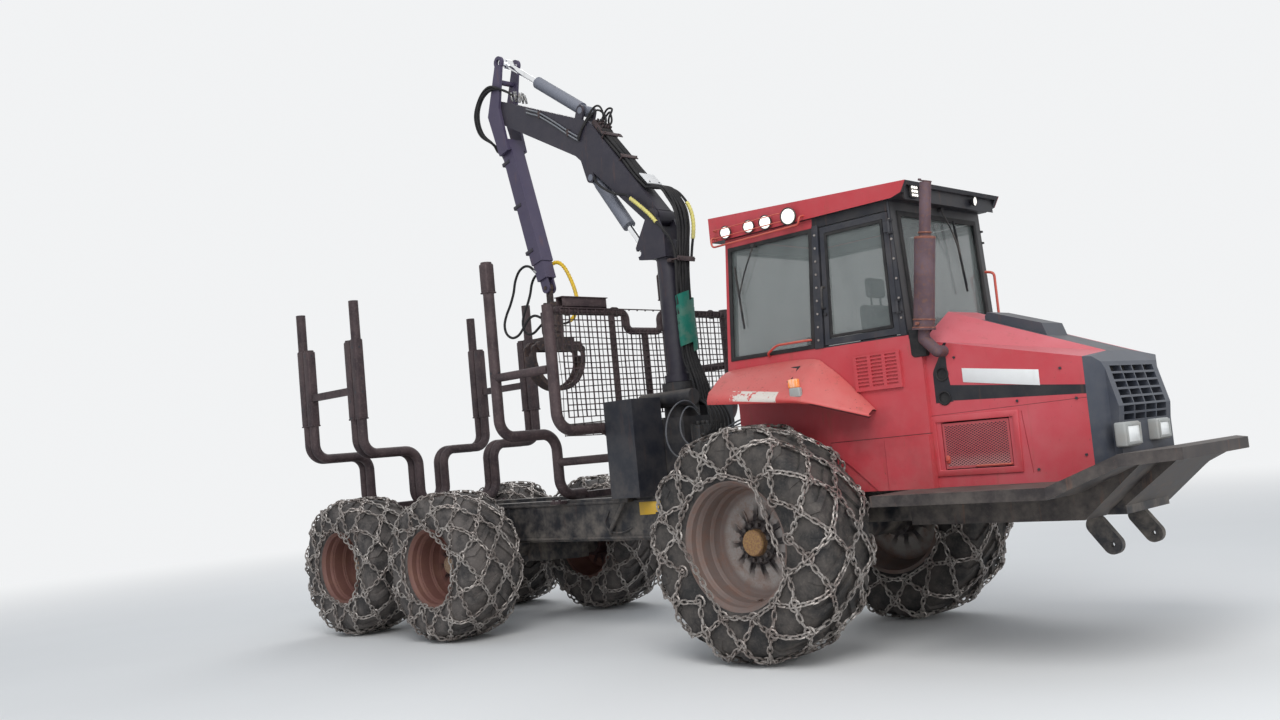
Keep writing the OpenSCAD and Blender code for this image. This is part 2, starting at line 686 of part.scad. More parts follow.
// Rear frame
frame_front_x = pivot_x - 180 - side_gap;
bogie_pin_r = 100;
bogie_z = rear_tip_r + 40;
module rear_frame() {
    color([0.1, 0.1, 0.12]) difference() {
        union() {
            both_sides() box(tail_x + 90, frame_front_x - 200, beam_half_w - 130, beam_half_w,
                beam_top - beam_h, beam_top);
            translate([frame_front_x - 100, 0, roll_z]) along_x(200, ring_r);
            box(frame_front_x - 260, frame_front_x - 200, -beam_half_w, beam_half_w, 640, beam_top);
            for (x = [bogie_x + 1097, bogie_x, tail_x + 450])
                box(x - 80, x + 80, -beam_half_w + 130, beam_half_w - 130, beam_top - beam_h, beam_top - 60);
            translate([bogie_x, 0, bogie_z]) along_y(2 * (beam_half_w + 10), 150);
            translate([bogie_x, 0, bogie_z]) along_y(2 * (beam_half_w + 145), bogie_pin_r);
            box(tail_x, tail_x + 90, -beam_half_w, beam_half_w, beam_top - 200, beam_top);
        }
        translate([frame_front_x - 100, 0, roll_z]) along_x(600, roll_r);
    }
}

// A quarter bend of tube in the Y-Z plane, from angle a0, about (y, z)
module bend_yz(x, y, z, bend, a0, r) {
    translate([x, y, z]) rotate([90, 0, 90]) rotate([0, 0, a0])
        rotate_extrude(angle = 90) translate([bend, 0]) circle(r);
}
// An S-bent stake in the plane X = x: foot on the frame, out over the wheels, then up
s_bend = 150;
foot_y = 200;
low_y = 480;
shelf_z = 1755;
module stake(x, top, s) {
    r = stake_d / 2;
    z0 = beam_top + seat_gap + r;
    scale_side(s) {
        translate([x, foot_y, z0]) rotate([-90, 0, 0]) cylinder(h = low_y - s_bend - foot_y, r = r);
        bend_yz(x, low_y - s_bend, z0 + s_bend, s_bend, -90, r);
        translate([x, low_y, z0 + s_bend]) cylinder(h = shelf_z - s_bend - z0 - s_bend, r = r);
        bend_yz(x, low_y + s_bend, shelf_z - s_bend, s_bend, 90, r);
        translate([x, low_y + s_bend, shelf_z]) rotate([-90, 0, 0])
            cylinder(h = stake_half_w - low_y - 2 * s_bend, r = r);
        bend_yz(x, stake_half_w - s_bend, shelf_z + s_bend, s_bend, -90, r);
        translate([x, stake_half_w, shelf_z + s_bend]) cylinder(h = top - shelf_z - s_bend, r = r);
    }
}
dip_h = 160;
dip_bend = 62;
dip_in = 150;
dip_out = dip_in + 2 * dip_bend;
post_ys = [-385, 0, 385];
mesh_z0 = 1850;
mesh_wire = 9;
module headboard() {
    r = stake_d / 2;
    rail_r = 32;
    inner_r = 28;
    color([0.3, 0.24, 0.23]) {
        for (s = [-1, 1]) stake(gate_x, gate_top, s);
        both_sides() {
            translate([gate_x, dip_out, gate_top - r]) rotate([-90, 0, 0])
                cylinder(h = stake_half_w - dip_out, r = rail_r);
            bend_yz(gate_x, dip_out, gate_top - r - dip_bend, dip_bend, 90, rail_r);
            bend_yz(gate_x, dip_in, gate_top - r - dip_h + dip_bend, dip_bend, -90, rail_r);
            translate([gate_x, dip_in + dip_bend, gate_top - r - dip_h + dip_bend])
                cylinder(h = dip_h - 2 * dip_bend, r = rail_r);
        }
        translate([gate_x, -dip_in, gate_top - r - dip_h]) rotate([-90, 0, 0])
            cylinder(h = 2 * dip_in, r = rail_r);
        for (y = post_ys) translate([gate_x, y, beam_top + seat_gap])
            cylinder(h = gate_top - beam_top - r - (abs(y) < dip_in ? dip_h : 0), r = inner_r);
        // foot plate across the frame
        box(gate_x - 60, gate_x + 60, -foot_y - 10, foot_y + 10, beam_top + seat_gap, beam_top + 60);
    }
    // wire mesh, hung on the front of the posts
    color([0.2, 0.17, 0.16]) translate([gate_x + rail_r + seat_gap, 0, 0]) rotate([90, 0, 90])
        linear_extrude(mesh_wire) mesh_outline();
}
module mesh_outline() {
    n = floor((stake_half_w - stake_d) / mesh_pitch);
    rows = floor((gate_top - mesh_z0) / mesh_pitch);
    half = n * mesh_pitch;
    difference() {
        translate([-half - mesh_wire / 2, mesh_z0])
            square([2 * half + mesh_wire, rows * mesh_pitch + mesh_wire]);
        for (i = [-n:n - 1], k = [0:rows - 1])
            translate([i * mesh_pitch + mesh_wire / 2, mesh_z0 + k * mesh_pitch + mesh_wire])
                square(mesh_pitch - mesh_wire);
        // the dip in the top rail stays free
        translate([-dip_out, gate_top - stake_d / 2 - dip_h + mesh_wire]) square([2 * dip_out, dip_h]);
    }
}

front_stake_x = -1030;
module front_stakes() {
    r = stake_d / 2;
    rung_r = 36;
    color([0.3, 0.24, 0.23]) {
        for (s = [-1, 1]) {
            stake(front_stake_x, stake_top, s);
            for (p = [[stake_half_w, 2260], [low_y, 1500]])
                translate([front_stake_x, s * p[0], p[1]]) rotate([0, 90, 0])
                    cylinder(h = gate_x - front_stake_x - r - seat_gap, r = rung_r);
        }
        box(front_stake_x - 60, front_stake_x + 60, -foot_y - 10, foot_y + 10,
            beam_top + seat_gap, beam_top + 60);
    }
}

bunk_xs = [tail_x + 1150, tail_x + 250];
pair_half = 56;
module rear_bunks() {
    color([0.32, 0.25, 0.25]) {
        for (bx = bunk_xs) {
            for (s = [-1, 1]) {
                stake(bx - pair_half, bx == bunk_xs[0] ? 2880 : stake_top, s);
                stake(bx + pair_half, bx == bunk_xs[0] ? stake_top : 2880, s);
            }
            box(bx - pair_half - 50, bx + pair_half + 50, -foot_y - 10, foot_y + 10,
                beam_top + seat_gap, beam_top + 70);
        }
        for (s = [-1, 1]) translate([bunk_xs[1] + pair_half, s * stake_half_w - 30, 2350])
            cube([bunk_xs[0] - bunk_xs[1] - 2 * pair_half, 60, 70]);
    }
}

// Crane foot with its two slewing cylinders
base_top = 2080;
slew_z = 1940;
slew_r = 68;
slew_y = 165;
module crane_base() {
    color([0.1, 0.1, 0.12]) difference() {
        union() {
            box(pillar_x - 200, pillar_x + 260, -280, 280, beam_top, base_top - 300);
            translate([pillar_x, 0, base_top - 300]) cylinder(h = 300, r = 150);
            for (s = [-1, 1]) translate([pillar_x + 5, s * slew_y, slew_z]) along_x(590, slew_r);
        }
        translate([pillar_x, 0, base_top - 230]) cylinder(h = 400, d = pillar_d + 2 * pin_gap);
    }
}
module side_tanks() {
    color([0.08, 0.09, 0.11]) both_sides()
        box(gate_x + stake_d / 2 + mesh_wire + 2, 100, 290, 630, beam_top, 1960);
}

// Bogies
bogie_w = 134;
module bogie(s) {
    y0 = beam_half_w + side_gap + 10;
    y1 = y0 + bogie_w;
    hub_y = rear_half_track + rear_disc_y - 60 - 70;
    color([0.1, 0.1, 0.11]) scale_side(s) difference() {
        union() {
            side_plate([[mid_x + 120, rear_tip_r - 120], [mid_x + 120, rear_tip_r + 110],
                [bogie_x + 170, bogie_z + 190], [bogie_x - 170, bogie_z + 190],
                [rear_x - 120, rear_tip_r + 110], [rear_x - 120, rear_tip_r - 120],
                [bogie_x - 200, bogie_z - 190], [bogie_x + 200, bogie_z - 190]], y0, y1);
            for (x = [mid_x, rear_x]) {
                translate([x, (y1 + hub_y - side_gap) / 2, rear_tip_r]) along_y(hub_y - side_gap - y1, 100);
                translate([x, (y1 + hub_y + 90) / 2, rear_tip_r]) along_y(hub_y + 90 - y1, rear_spindle_r);
            }
        }
        translate([bogie_x, (y0 + y1) / 2, bogie_z]) along_y(y1 - y0 + 10, bogie_pin_r + pin_gap);
    }
}

// Crane
boom_pin = [pillar_x - 40, boom_pin_z];
tip_pin = boom_pin + [-1980, 1470];
lift_foot = boom_pin + [-180, -290];
lift_eye = boom_pin + [-730, 510];
jib_eye = boom_pin + [-790, 1150];
lever_top = boom_pin + [-1840, 1910];
stick_tilt = -14.2;
pin_r = 30;
cheek_t = 30;
cheek_in = boom_w / 2 + side_gap;
cheek_out = cheek_in + cheek_t;

module crane_pillar() {
    foot_z = base_top - 220;
    neck_z = boom_pin_z - 370;
    half = pillar_d / 2;
    color([0.12, 0.12, 0.15]) {
        translate([pillar_x, 0, foot_z]) cylinder(h = neck_z + 150 - foot_z, d = pillar_d);
        translate([pillar_x, 0, base_top + side_gap]) cylinder(h = 60, d = pillar_d + 50);
        box(pillar_x - half, pillar_x + half, -cheek_out, cheek_out, neck_z, neck_z + 140);
        both_sides() difference() {
            union() {
                side_plate([[pillar_x + half, neck_z], [pillar_x + half, neck_z + 180],
                    [boom_pin[0] + 60, boom_pin[1]], [boom_pin[0] - 60, boom_pin[1]],
                    [lift_foot[0] - 30, lift_foot[1] + 50],
                    [lift_foot[0], lift_foot[1] - 60], [pillar_x - 90, neck_z]], cheek_in, cheek_out);
                translate([boom_pin[0], (cheek_in + cheek_out) / 2, boom_pin[1]]) along_y(cheek_t, 70);
            }
            translate([lift_foot[0], cheek_in, lift_foot[1]]) along_y(200, pin_r);
        }
        translate([boom_pin[0], 0, boom_pin[1]]) along_y(2 * cheek_out, pin_r);
    }
}

// the boom's outline, from its lower pin
boom_line = [[60, 52], [-688, 1020], [-1937, 1560], [-2023, 1380], [-896, 748], [-60, -52]];
module main_boom() {
    h = boom_w / 2;
    color([0.12, 0.12, 0.16]) difference() {
        union() {
            side_plate([for (p = boom_line) boom_pin + p], -h, h);
            translate([boom_pin[0], 0, boom_pin[1]]) along_y(boom_w, 75);
            translate([tip_pin[0], 0, tip_pin[1]]) along_y(boom_w, 92);
            // ears for the two cylinders
            both_sides() {
                hull_plate(lift_eye + [-60, 200], lift_eye, 48, 60, h);
                hull_plate(jib_eye + [-70, -170], jib_eye, 48, 60, h);
            }
        }
        for (p = [boom_pin, tip_pin, lift_eye, jib_eye])
            translate([p[0], 0, p[1]]) along_y(boom_w + 10, pin_r + pin_gap);
        // slot between the ears
        translate([jib_eye[0], 0, jib_eye[1]]) along_y(120, 75);
        translate([lift_eye[0], 0, lift_eye[1]]) along_y(120, 75);
    }
}

module at_stick() { translate([tip_pin[0], 0, tip_pin[1]]) rotate([0, stick_tilt, 0]) children(); }
stick_from = 350;
stick_to = 1640;
nose_d = 1900;
inner_from = 700;
module stick() {
    h = stick_w / 2;
    lever = [lever_top[0] - tip_pin[0], lever_top[1] - tip_pin[1]];
    lever_l = [lever[0] * cos(stick_tilt) - lever[1] * sin(stick_tilt),
        lever[0] * sin(stick_tilt) + lever[1] * cos(stick_tilt)];
    color([0.22, 0.2, 0.27]) at_stick() {
        difference() {
            box(-h, h, -h, h, -stick_to, -stick_from);
            box(-h + stick_t, h - stick_t, -h + stick_t, h - stick_t, -stick_to - 1, -stick_from - 30);
        }
        both_sides() difference() {
            union() {
                side_plate([[-90, -30], [-70, -stick_from - 120], [70, -stick_from - 120], [90, -30],
                    [lever_l[0] + 50, lever_l[1]], [lever_l[0] - 50, lever_l[1]]], cheek_in, cheek_out);
                translate([lever_l[0], (cheek_in + cheek_out) / 2, lever_l[1]]) along_y(cheek_t, 60);
            }
            translate([lever_l[0], cheek_in, lever_l[1]]) along_y(200, pin_r);
        }
        // block that joins the cheeks to the box
        both_sides() box(-h, h, h, cheek_in, -stick_from - 110, -stick_from);
        along_y(2 * cheek_out, pin_r);
        translate([lever_l[0] * 0.6, 0, lever_l[1] * 0.6]) along_y(2 * cheek_in, 26);
    }
}

module stick_extension() {
    h = stick_w / 2 - stick_t - slide_gap;
    color([0.2, 0.2, 0.24]) at_stick() difference() {
        union() {
            box(-h, h, -h, h, -nose_d + 90, -inner_from);
            for (y = [-45, 25]) hull_plate([0, -nose_d], [0, -nose_d + 120], 50, y, y + 20);
        }
        translate([0, 0, -nose_d]) along_y(200, 20 + pin_gap);
    }
}

nose_pin = [tip_pin[0] - nose_d * sin(stick_tilt), tip_pin[1] - nose_d * cos(stick_tilt)];
link_l = 170;
cross_z = nose_pin[1] - link_l;
module grapple_link() {
    color([0.12, 0.12, 0.13]) {
        translate([nose_pin[0], 0, nose_pin[1]]) along_y(100, 20);
        difference() {
            union() {
                translate([nose_pin[0], 0, nose_pin[1]]) along_y(36, 42);
                box(nose_pin[0] - 30, nose_pin[0] + 30, -18, 18, cross_z, nose_pin[1]);
                translate([nose_pin[0], 0, cross_z]) along_x(60, 40);
            }
            translate([nose_pin[0], 0, cross_z]) along_x(80, 20 + pin_gap);
        }
    }
}
rotator_r = 105;
rotator_top = cross_z - 60;
rotator_h = 200;
shaft_r = 45;
shaft_h = 80;
module rotator() {
    color([0.14, 0.14, 0.15]) translate([nose_pin[0], 0, 0]) {
        difference() {
            translate([0, 0, rotator_top - rotator_h]) cylinder(h = rotator_h, r = rotator_r);
            translate([0, 0, rotator_top - rotator_h - 1]) cylinder(h = shaft_h + 11, r = shaft_r + pin_gap);
        }
        for (x = [-60, 36]) box(x, x + 24, -40, 40, rotator_top, cross_z + 35);
        translate([0, 0, cross_z]) along_x(120, 20);
    }
}
claw_z = rotator_top - rotator_h - 130;
claw_y = 240;
claw_pin_r = 25;
module grapple_frame() {
    color([0.16, 0.14, 0.15]) translate([nose_pin[0], 0, 0]) {
        z = rotator_top - rotator_h - side_gap;
        translate([0, 0, z - 40]) cylinder(h = 40, r = 100);
        translate([0, 0, z - 1]) cylinder(h = side_gap + shaft_h, r = shaft_r);
        box(-90, 90, -claw_y + 60, claw_y - 60, z - 110, z - 40);
        for (x = [-90, 70]) hull_plate_x(x, x + 20, [-claw_y, claw_z], [claw_y, claw_z], 42);
        for (y = [-claw_y, claw_y]) translate([0, y, claw_z]) along_x(180, claw_pin_r);
    }
}
// A straight bar with round ends, standing in the Y-Z plane
module hull_plate_x(x0, x1, a, b, r) {
    translate([x0, 0, 0]) rotate([90, 0, 90]) linear_extrude(x1 - x0) union() {
        translate(a) circle(r);
        translate(b) circle(r);
        translate([a[0], a[1] - r]) square([b[0] - a[0], 2 * r]);
    }
}
claw_out = 330;
claw_in = 285;
claw_c = claw_z - 90;
module claw(s) {
    color([0.3, 0.22, 0.2]) translate([nose_pin[0], 0, 0]) scale_side(s) difference() {
        union() {
            for (x = [-64, 44]) translate([x, 0, claw_c]) rotate([90, 0, 90]) linear_extrude(20)
                intersection() {
                    difference() { circle(claw_out); circle(claw_in); }
                    polygon([[3, 0], [3, -400], [500, -400], [500, 130], [0, 0]]);
                }
            translate([-44, 0, claw_c]) rotate([90, 0, 90]) linear_extrude(88) intersection() {
                difference() { circle(claw_out); circle(claw_out - 15); }
                polygon([[3, 0], [3, -400], [500, -400], [500, 0], [0, 0]]);
            }
            for (x = [-64, 44]) translate([x, 0, 0])
                hull_lug([claw_y, claw_z], [claw_out - 30, claw_c + 60], 20);
        }
        translate([0, claw_y, claw_z]) along_x(300, claw_pin_r + pin_gap);
    }
}
module hull_lug(a, b, t) {
    d = b - a;
    rotate([90, 0, 90]) linear_extrude(t) {
        translate(a) circle(44);
        translate(b) circle(36);
        translate(a) rotate(atan2(d[1], d[0])) translate([0, -34]) square([norm(d), 68]);
    }
}

// A hydraulic cylinder along a line in the plane Y = 0, from its barrel's eye to its rod's eye
module line_xz(a, b) {
    d = b - a;
    translate([a[0], 0, a[1]]) rotate([0, 90 - atan2(d[1], d[0]), 0]) children();
}
module barrel(a, b, len, r, rod_r) {
    color([0.42, 0.44, 0.48]) {
        line_xz(a, b) difference() {
            union() {
                translate([0, 0, 70]) cylinder(h = len - 70, r = r);
                box(-40, 40, -40, 40, 0, 80);
                along_y(80, 50);
            }
            translate([0, 0, 150]) cylinder(h = len, r = rod_r + pin_gap);
        }
        translate([a[0], 0, a[1]]) along_y(boom_w, pin_r);
    }
}
module rod(a, b, len, rod_r) {
    full = norm(b - a);
    color([0.8, 0.82, 0.84]) line_xz(a, b) {
        translate([0, 0, full - len]) cylinder(h = len - 30, r = rod_r);
        translate([0, 0, full]) along_y(80, 48);
        translate([0, 0, full]) along_y(2 * cheek_in - 8, pin_r - 2);
    }
}
lift_len = 620;
lift_r = 60;
lift_rod_r = 30;
jib_barrel_l = 770;
jib_rod_l = 670;
jib_r = 58;
jib_rod_r = 27;

front_chassis();
bumper_belly();
blade_arms();
front_axle();
engine_block();
hood();
nose();
cab_body();
fenders();
cab_roof();
cab_glass();
work_lamps();
exhaust();
seat();
console();
door_frame(-1);  // door_right
door_pane(-1);  // door_right_glass
door_frame(1);  // door_left
door_pane(1);  // door_left_glass
side_panel(-1);  // side_panel_right
side_panel(1);  // side_panel_left
front_rim(-1);  // rim_front_right
front_tyre(-1);  // tyre_front_right
front_rim(1);  // rim_front_left
front_tyre(1);  // tyre_front_left
centre_joint();
rear_frame();
headboard();
front_stakes();
rear_bunks();
crane_base();
side_tanks();
bogie(-1);  // bogie_right
bogie(1);  // bogie_left
rear_rim(mid_x, -1);  // rim_mid_right
rear_tyre(mid_x, -1);  // tyre_mid_right
rear_rim(mid_x, 1);  // rim_mid_left
rear_tyre(mid_x, 1);  // tyre_mid_left
rear_rim(rear_x, -1);  // rim_rear_right
rear_tyre(rear_x, -1);  // tyre_rear_right
rear_rim(rear_x, 1);  // rim_rear_left
rear_tyre(rear_x, 1);  // tyre_rear_left
crane_pillar();
main_boom();
stick();
stick_extension();
grapple_link();
rotator();
grapple_frame();
claw(-1);  // claw_right
claw(1);  // claw_left
barrel(lift_eye, lift_foot, lift_len, lift_r, lift_rod_r);  // lift_cylinder
rod(lift_eye, lift_foot, lift_len, lift_rod_r);  // lift_rod
barrel(jib_eye, lever_top, jib_barrel_l, jib_r, jib_rod_r);  // jib_cylinder
rod(jib_eye, lever_top, jib_rod_l, jib_rod_r);  // jib_rod
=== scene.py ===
# %% [markdown]
# A forestry forwarder, dressed for a studio render.
#
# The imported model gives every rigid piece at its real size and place, in metres, with +X towards
# the nose, +Y to the left side and +Z up. This lesson loads it as a fixed frame, gives each piece
# its finish, and adds what is too fine for the frame: chain links, tyre lugs, hoses, seals, wire
# mesh, lamps and blank plates.

# %% Load the frame
import json
import math
import random

import bmesh
import bpy
from mathutils import Matrix, Vector


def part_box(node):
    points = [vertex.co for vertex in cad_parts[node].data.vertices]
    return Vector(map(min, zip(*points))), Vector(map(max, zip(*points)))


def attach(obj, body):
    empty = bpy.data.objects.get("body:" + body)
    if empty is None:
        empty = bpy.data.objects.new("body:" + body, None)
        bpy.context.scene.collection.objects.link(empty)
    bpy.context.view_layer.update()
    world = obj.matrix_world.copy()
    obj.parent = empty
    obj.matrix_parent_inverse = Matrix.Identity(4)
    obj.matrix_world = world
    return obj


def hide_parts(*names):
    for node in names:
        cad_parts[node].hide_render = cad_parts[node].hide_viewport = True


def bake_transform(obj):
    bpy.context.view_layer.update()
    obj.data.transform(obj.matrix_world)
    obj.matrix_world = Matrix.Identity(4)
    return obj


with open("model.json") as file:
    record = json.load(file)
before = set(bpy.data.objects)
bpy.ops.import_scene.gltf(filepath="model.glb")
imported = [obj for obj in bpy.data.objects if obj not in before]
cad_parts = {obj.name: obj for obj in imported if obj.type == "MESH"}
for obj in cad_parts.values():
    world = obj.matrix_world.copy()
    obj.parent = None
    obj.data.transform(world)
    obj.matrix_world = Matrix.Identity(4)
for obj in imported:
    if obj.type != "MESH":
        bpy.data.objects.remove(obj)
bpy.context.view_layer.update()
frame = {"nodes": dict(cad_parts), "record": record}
nodes = frame["nodes"]
random.seed(7)
bpy.ops.object.select_all(action="DESELECT")

# %% [markdown]
# The photo was taken from the front right corner, a little below the hood, with a slight tilt.
# The camera's place and angles were fitted to the six wheels of the machine. An angle of zero
# looks along +X, and the roll turns the picture about the line of sight. Two helpers come first:
# one makes a place out of three directions, and one adds an object to the scene.

# %% Camera
def axes_at(at, x, y, z):
    """A 4x4 place whose axes run along three directions."""
    return Matrix.Translation(at) @ Matrix((x, y, z)).transposed().to_4x4()


def new_object(name, data):
    obj = bpy.data.objects.new(name, data)
    bpy.context.scene.collection.objects.link(obj)
    return obj


CAMERA_AT = Vector((6.9211, -7.4642, 1.519))
CAMERA_YAW = math.radians(134.338)
CAMERA_PITCH = math.radians(4.4287)
CAMERA_ROLL = math.radians(-5.3665)
LENS_MM = 33.48
SENSOR_MM = 36.0


def add_camera():
    flat = Vector((math.cos(CAMERA_YAW), math.sin(CAMERA_YAW), 0))
    side = Vector((math.sin(CAMERA_YAW), -math.cos(CAMERA_YAW), 0))
    rise = Vector((0, 0, 1))
    ahead = math.cos(CAMERA_PITCH) * flat + math.sin(CAMERA_PITCH) * rise
    over = -math.sin(CAMERA_PITCH) * flat + math.cos(CAMERA_PITCH) * rise
    right = math.cos(CAMERA_ROLL) * side + math.sin(CAMERA_ROLL) * over
    up = -math.sin(CAMERA_ROLL) * side + math.cos(CAMERA_ROLL) * over
    data = bpy.data.cameras.new("camera")
    data.lens = LENS_MM
    data.sensor_width = SENSOR_MM
    data.clip_end = 200
    camera = new_object("camera", data)
    camera.matrix_world = axes_at(CAMERA_AT, right, up, -ahead)
    bpy.context.scene.camera = camera


add_camera()
print("camera at", tuple(CAMERA_AT))

# %% [markdown]
# The studio is a wide pale floor under a pale world. A large soft key light stands at the front
# right, where the photo is brightest, a weaker one fills in from behind, and a low one lights the
# nose.

# %% Floor, lights and world
FLOOR_SIZE = 120.0
PALE, PALER = (0.8, 0.8, 0.79), (0.84, 0.84, 0.83)
SKY, SKY_STRENGTH = (0.86, 0.92, 1.0, 1), 0.55
BACKDROP, BACKDROP_STRENGTH = (0.93, 0.94, 0.95, 1), 0.95


def add_light(name, at, target, size, watts):
    data = bpy.data.lights.new(name, "AREA")
    data.shape = "DISK"
    data.size = size
    data.energy = watts
    light = new_object(name, data)
    light.location = at
    light.rotation_euler = (Vector(target) - Vector(at)).to_track_quat("-Z", "Y").to_euler()


def add_studio():
    scene = bpy.context.scene
    scene.view_settings.view_transform = "Standard"
    world = bpy.data.worlds.new("studio")
    scene.world = world
    world.use_nodes = True
    tree = world.node_tree
    tree.nodes.clear()
    out = tree.nodes.new("ShaderNodeOutputWorld")
    mix = tree.nodes.new("ShaderNodeMixShader")
    sky = tree.nodes.new("ShaderNodeBackground")
    seen = tree.nodes.new("ShaderNodeBackground")
    path = tree.nodes.new("ShaderNodeLightPath")
    either = [tree.nodes.new("ShaderNodeMath") for _ in range(2)]
    for node in either:
        node.operation = "MAXIMUM"
    for background, colour, strength in ((sky, SKY, SKY_STRENGTH), (seen, BACKDROP, BACKDROP_STRENGTH)):
        background.inputs["Color"].default_value = colour
        background.inputs["Strength"].default_value = strength
    tree.links.new(path.outputs["Is Camera Ray"], either[0].inputs[0])
    tree.links.new(path.outputs["Is Transmission Ray"], either[0].inputs[1])
    tree.links.new(either[0].outputs[0], either[1].inputs[0])
    tree.links.new(path.outputs["Is Glossy Ray"], either[1].inputs[1])
    tree.links.new(either[1].outputs[0], mix.inputs["Fac"])
    tree.links.new(sky.outputs[0], mix.inputs[1])
    tree.links.new(seen.outputs[0], mix.inputs[2])
    tree.links.new(mix.outputs[0], out.inputs["Surface"])
    add_light("key", (7.5, -9.0, 11.0), (0.5, 0, 1.2), 9.0, 1050)
    add_light("fill", (-9.0, 9.0, 9.0), (-0.5, 0, 1.5), 9.0, 450)
    add_light("low_front", (11.0, -3.0, 3.0), (2.0, 0, 1.2), 6.0, 230)


add_studio()

# %% [markdown]
# Shader maths reads best as plain Python. A small class wraps one socket of a node tree, and the
# usual operators add the Math nodes. A second class builds one material: it adds nodes, reads the
# object's own coordinates and joins the result to a Principled shader. Every finish is kept under
# its name.

# %% Sockets as numbers
finishes = {}


class Value:
    def __init__(self, finish, socket):
        self.finish = finish
        self.socket = socket

    def __add__(self, other):
        return self.finish.math("ADD", self, other)

    def __sub__(self, other):
        return self.finish.math("SUBTRACT", self, other)

    def __mul__(self, other):
        return self.finish.math("MULTIPLY", self, other)

    def __truediv__(self, other):
        return self.finish.math("DIVIDE", self, other)

    def __pow__(self, other):
        return self.finish.math("POWER", self, other)

    def __rsub__(self, other):
        return self.finish.math("SUBTRACT", other, self)

    __radd__ = __add__
    __rmul__ = __mul__

    def above(self, edge, soft):
        """0 below the edge, 1 above it, with a soft step between."""
        return self.finish.map_range(self, edge - soft, edge + soft)


class Finish:
    def __init__(self, name):
        material = finishes[name] = bpy.data.materials.new(name)
        material.use_nodes = True
        self.tree = material.node_tree
        self.tree.nodes.clear()

    def join(self, value, socket):
        if isinstance(value, Value):
            self.tree.links.new(value.socket, socket)
        elif isinstance(value, (tuple, list)) and len(value) == 3 and len(socket.default_value) == 4:
            socket.default_value = (*value, 1)
        else:
            socket.default_value = value

    def node(self, kind, settings=None, inputs=None, out=0):
        made = self.tree.nodes.new(kind)
        for key, value in (settings or {}).items():
            setattr(made, key, value)
        for key, value in (inputs or {}).items():
            self.join(value, made.inputs[key])
        return Value(self, made.outputs[out])

    def math(self, operation, first, second=0.0):
        return self.node("ShaderNodeMath", {"operation": operation}, {0: first, 1: second})

    def map_range(self, value, low, high, to_low=0.0, to_high=1.0):
        inputs = {"Value": value, "From Min": low, "From Max": high, "To Min": to_low, "To Max": to_high}
        return self.node("ShaderNodeMapRange", {"interpolation_type": "SMOOTHSTEP"}, inputs)

    def place(self, scale=(1, 1, 1), turn=(0, 0, 0)):
        spot = self.node("ShaderNodeTexCoord", out="Object")
        return self.node("ShaderNodeMapping", None, {"Vector": spot, "Scale": scale, "Rotation": turn})

    def axis(self, name):
        spot = self.node("ShaderNodeTexCoord", out="Object")
        return self.node("ShaderNodeSeparateXYZ", None, {0: spot}, out=name)

    def facing(self, name):
        normal = self.node("ShaderNodeNewGeometry", out="Normal")
        return self.node("ShaderNodeSeparateXYZ", None, {0: normal}, out=name)

    def noise(self, scale, detail=4.0, rough=0.6, stretch=(1, 1, 1), bend=0.0):
        inputs = {"Vector": self.place(stretch), "Scale": scale, "Detail": detail,
                  "Roughness": rough, "Distortion": bend}
        return self.node("ShaderNodeTexNoise", None, inputs)

    def blend(self, factor, first, second):
        return self.node("ShaderNodeMix", {"data_type": "RGBA"}, {0: factor, 6: first, 7: second}, out=2)

    def bump(self, height, strength, distance):
        inputs = {"Height": height, "Strength": strength, "Distance": distance}
        return self.node("ShaderNodeBump", None, inputs, out="Normal")

    def done(self, plain=None, **inputs):
        """Joins the values to a Principled shader; plain holds numbers for its own sockets."""
        shader = self.tree.nodes.new("ShaderNodeBsdfPrincipled")
        out = self.tree.nodes.new("ShaderNodeOutputMaterial")
        for key, value in (plain or {}).items():
            shader.inputs[key].default_value = value
        for key, value in inputs.items():
            self.join(value, shader.inputs[key.replace("_", " ")])
        self.tree.links.new(shader.outputs[0], out.inputs["Surface"])


print("shader helpers ready")

# %% [markdown]
# Worn paint is the finish of nearly every plate here. It has four layers: a base colour that
# drifts, a paler colour in patches and on the faces turned up, which is partly sun fade and partly
# painted light from above, dust and mud thrown up from the ground, and small chips that show
# primer and rust. One function mixes them, and each paint says how much.

# %% Worn paint
DUST = (0.3, 0.26, 0.22)
RUST = (0.2, 0.085, 0.045)
PRIMER = (0.1, 0.06, 0.055)


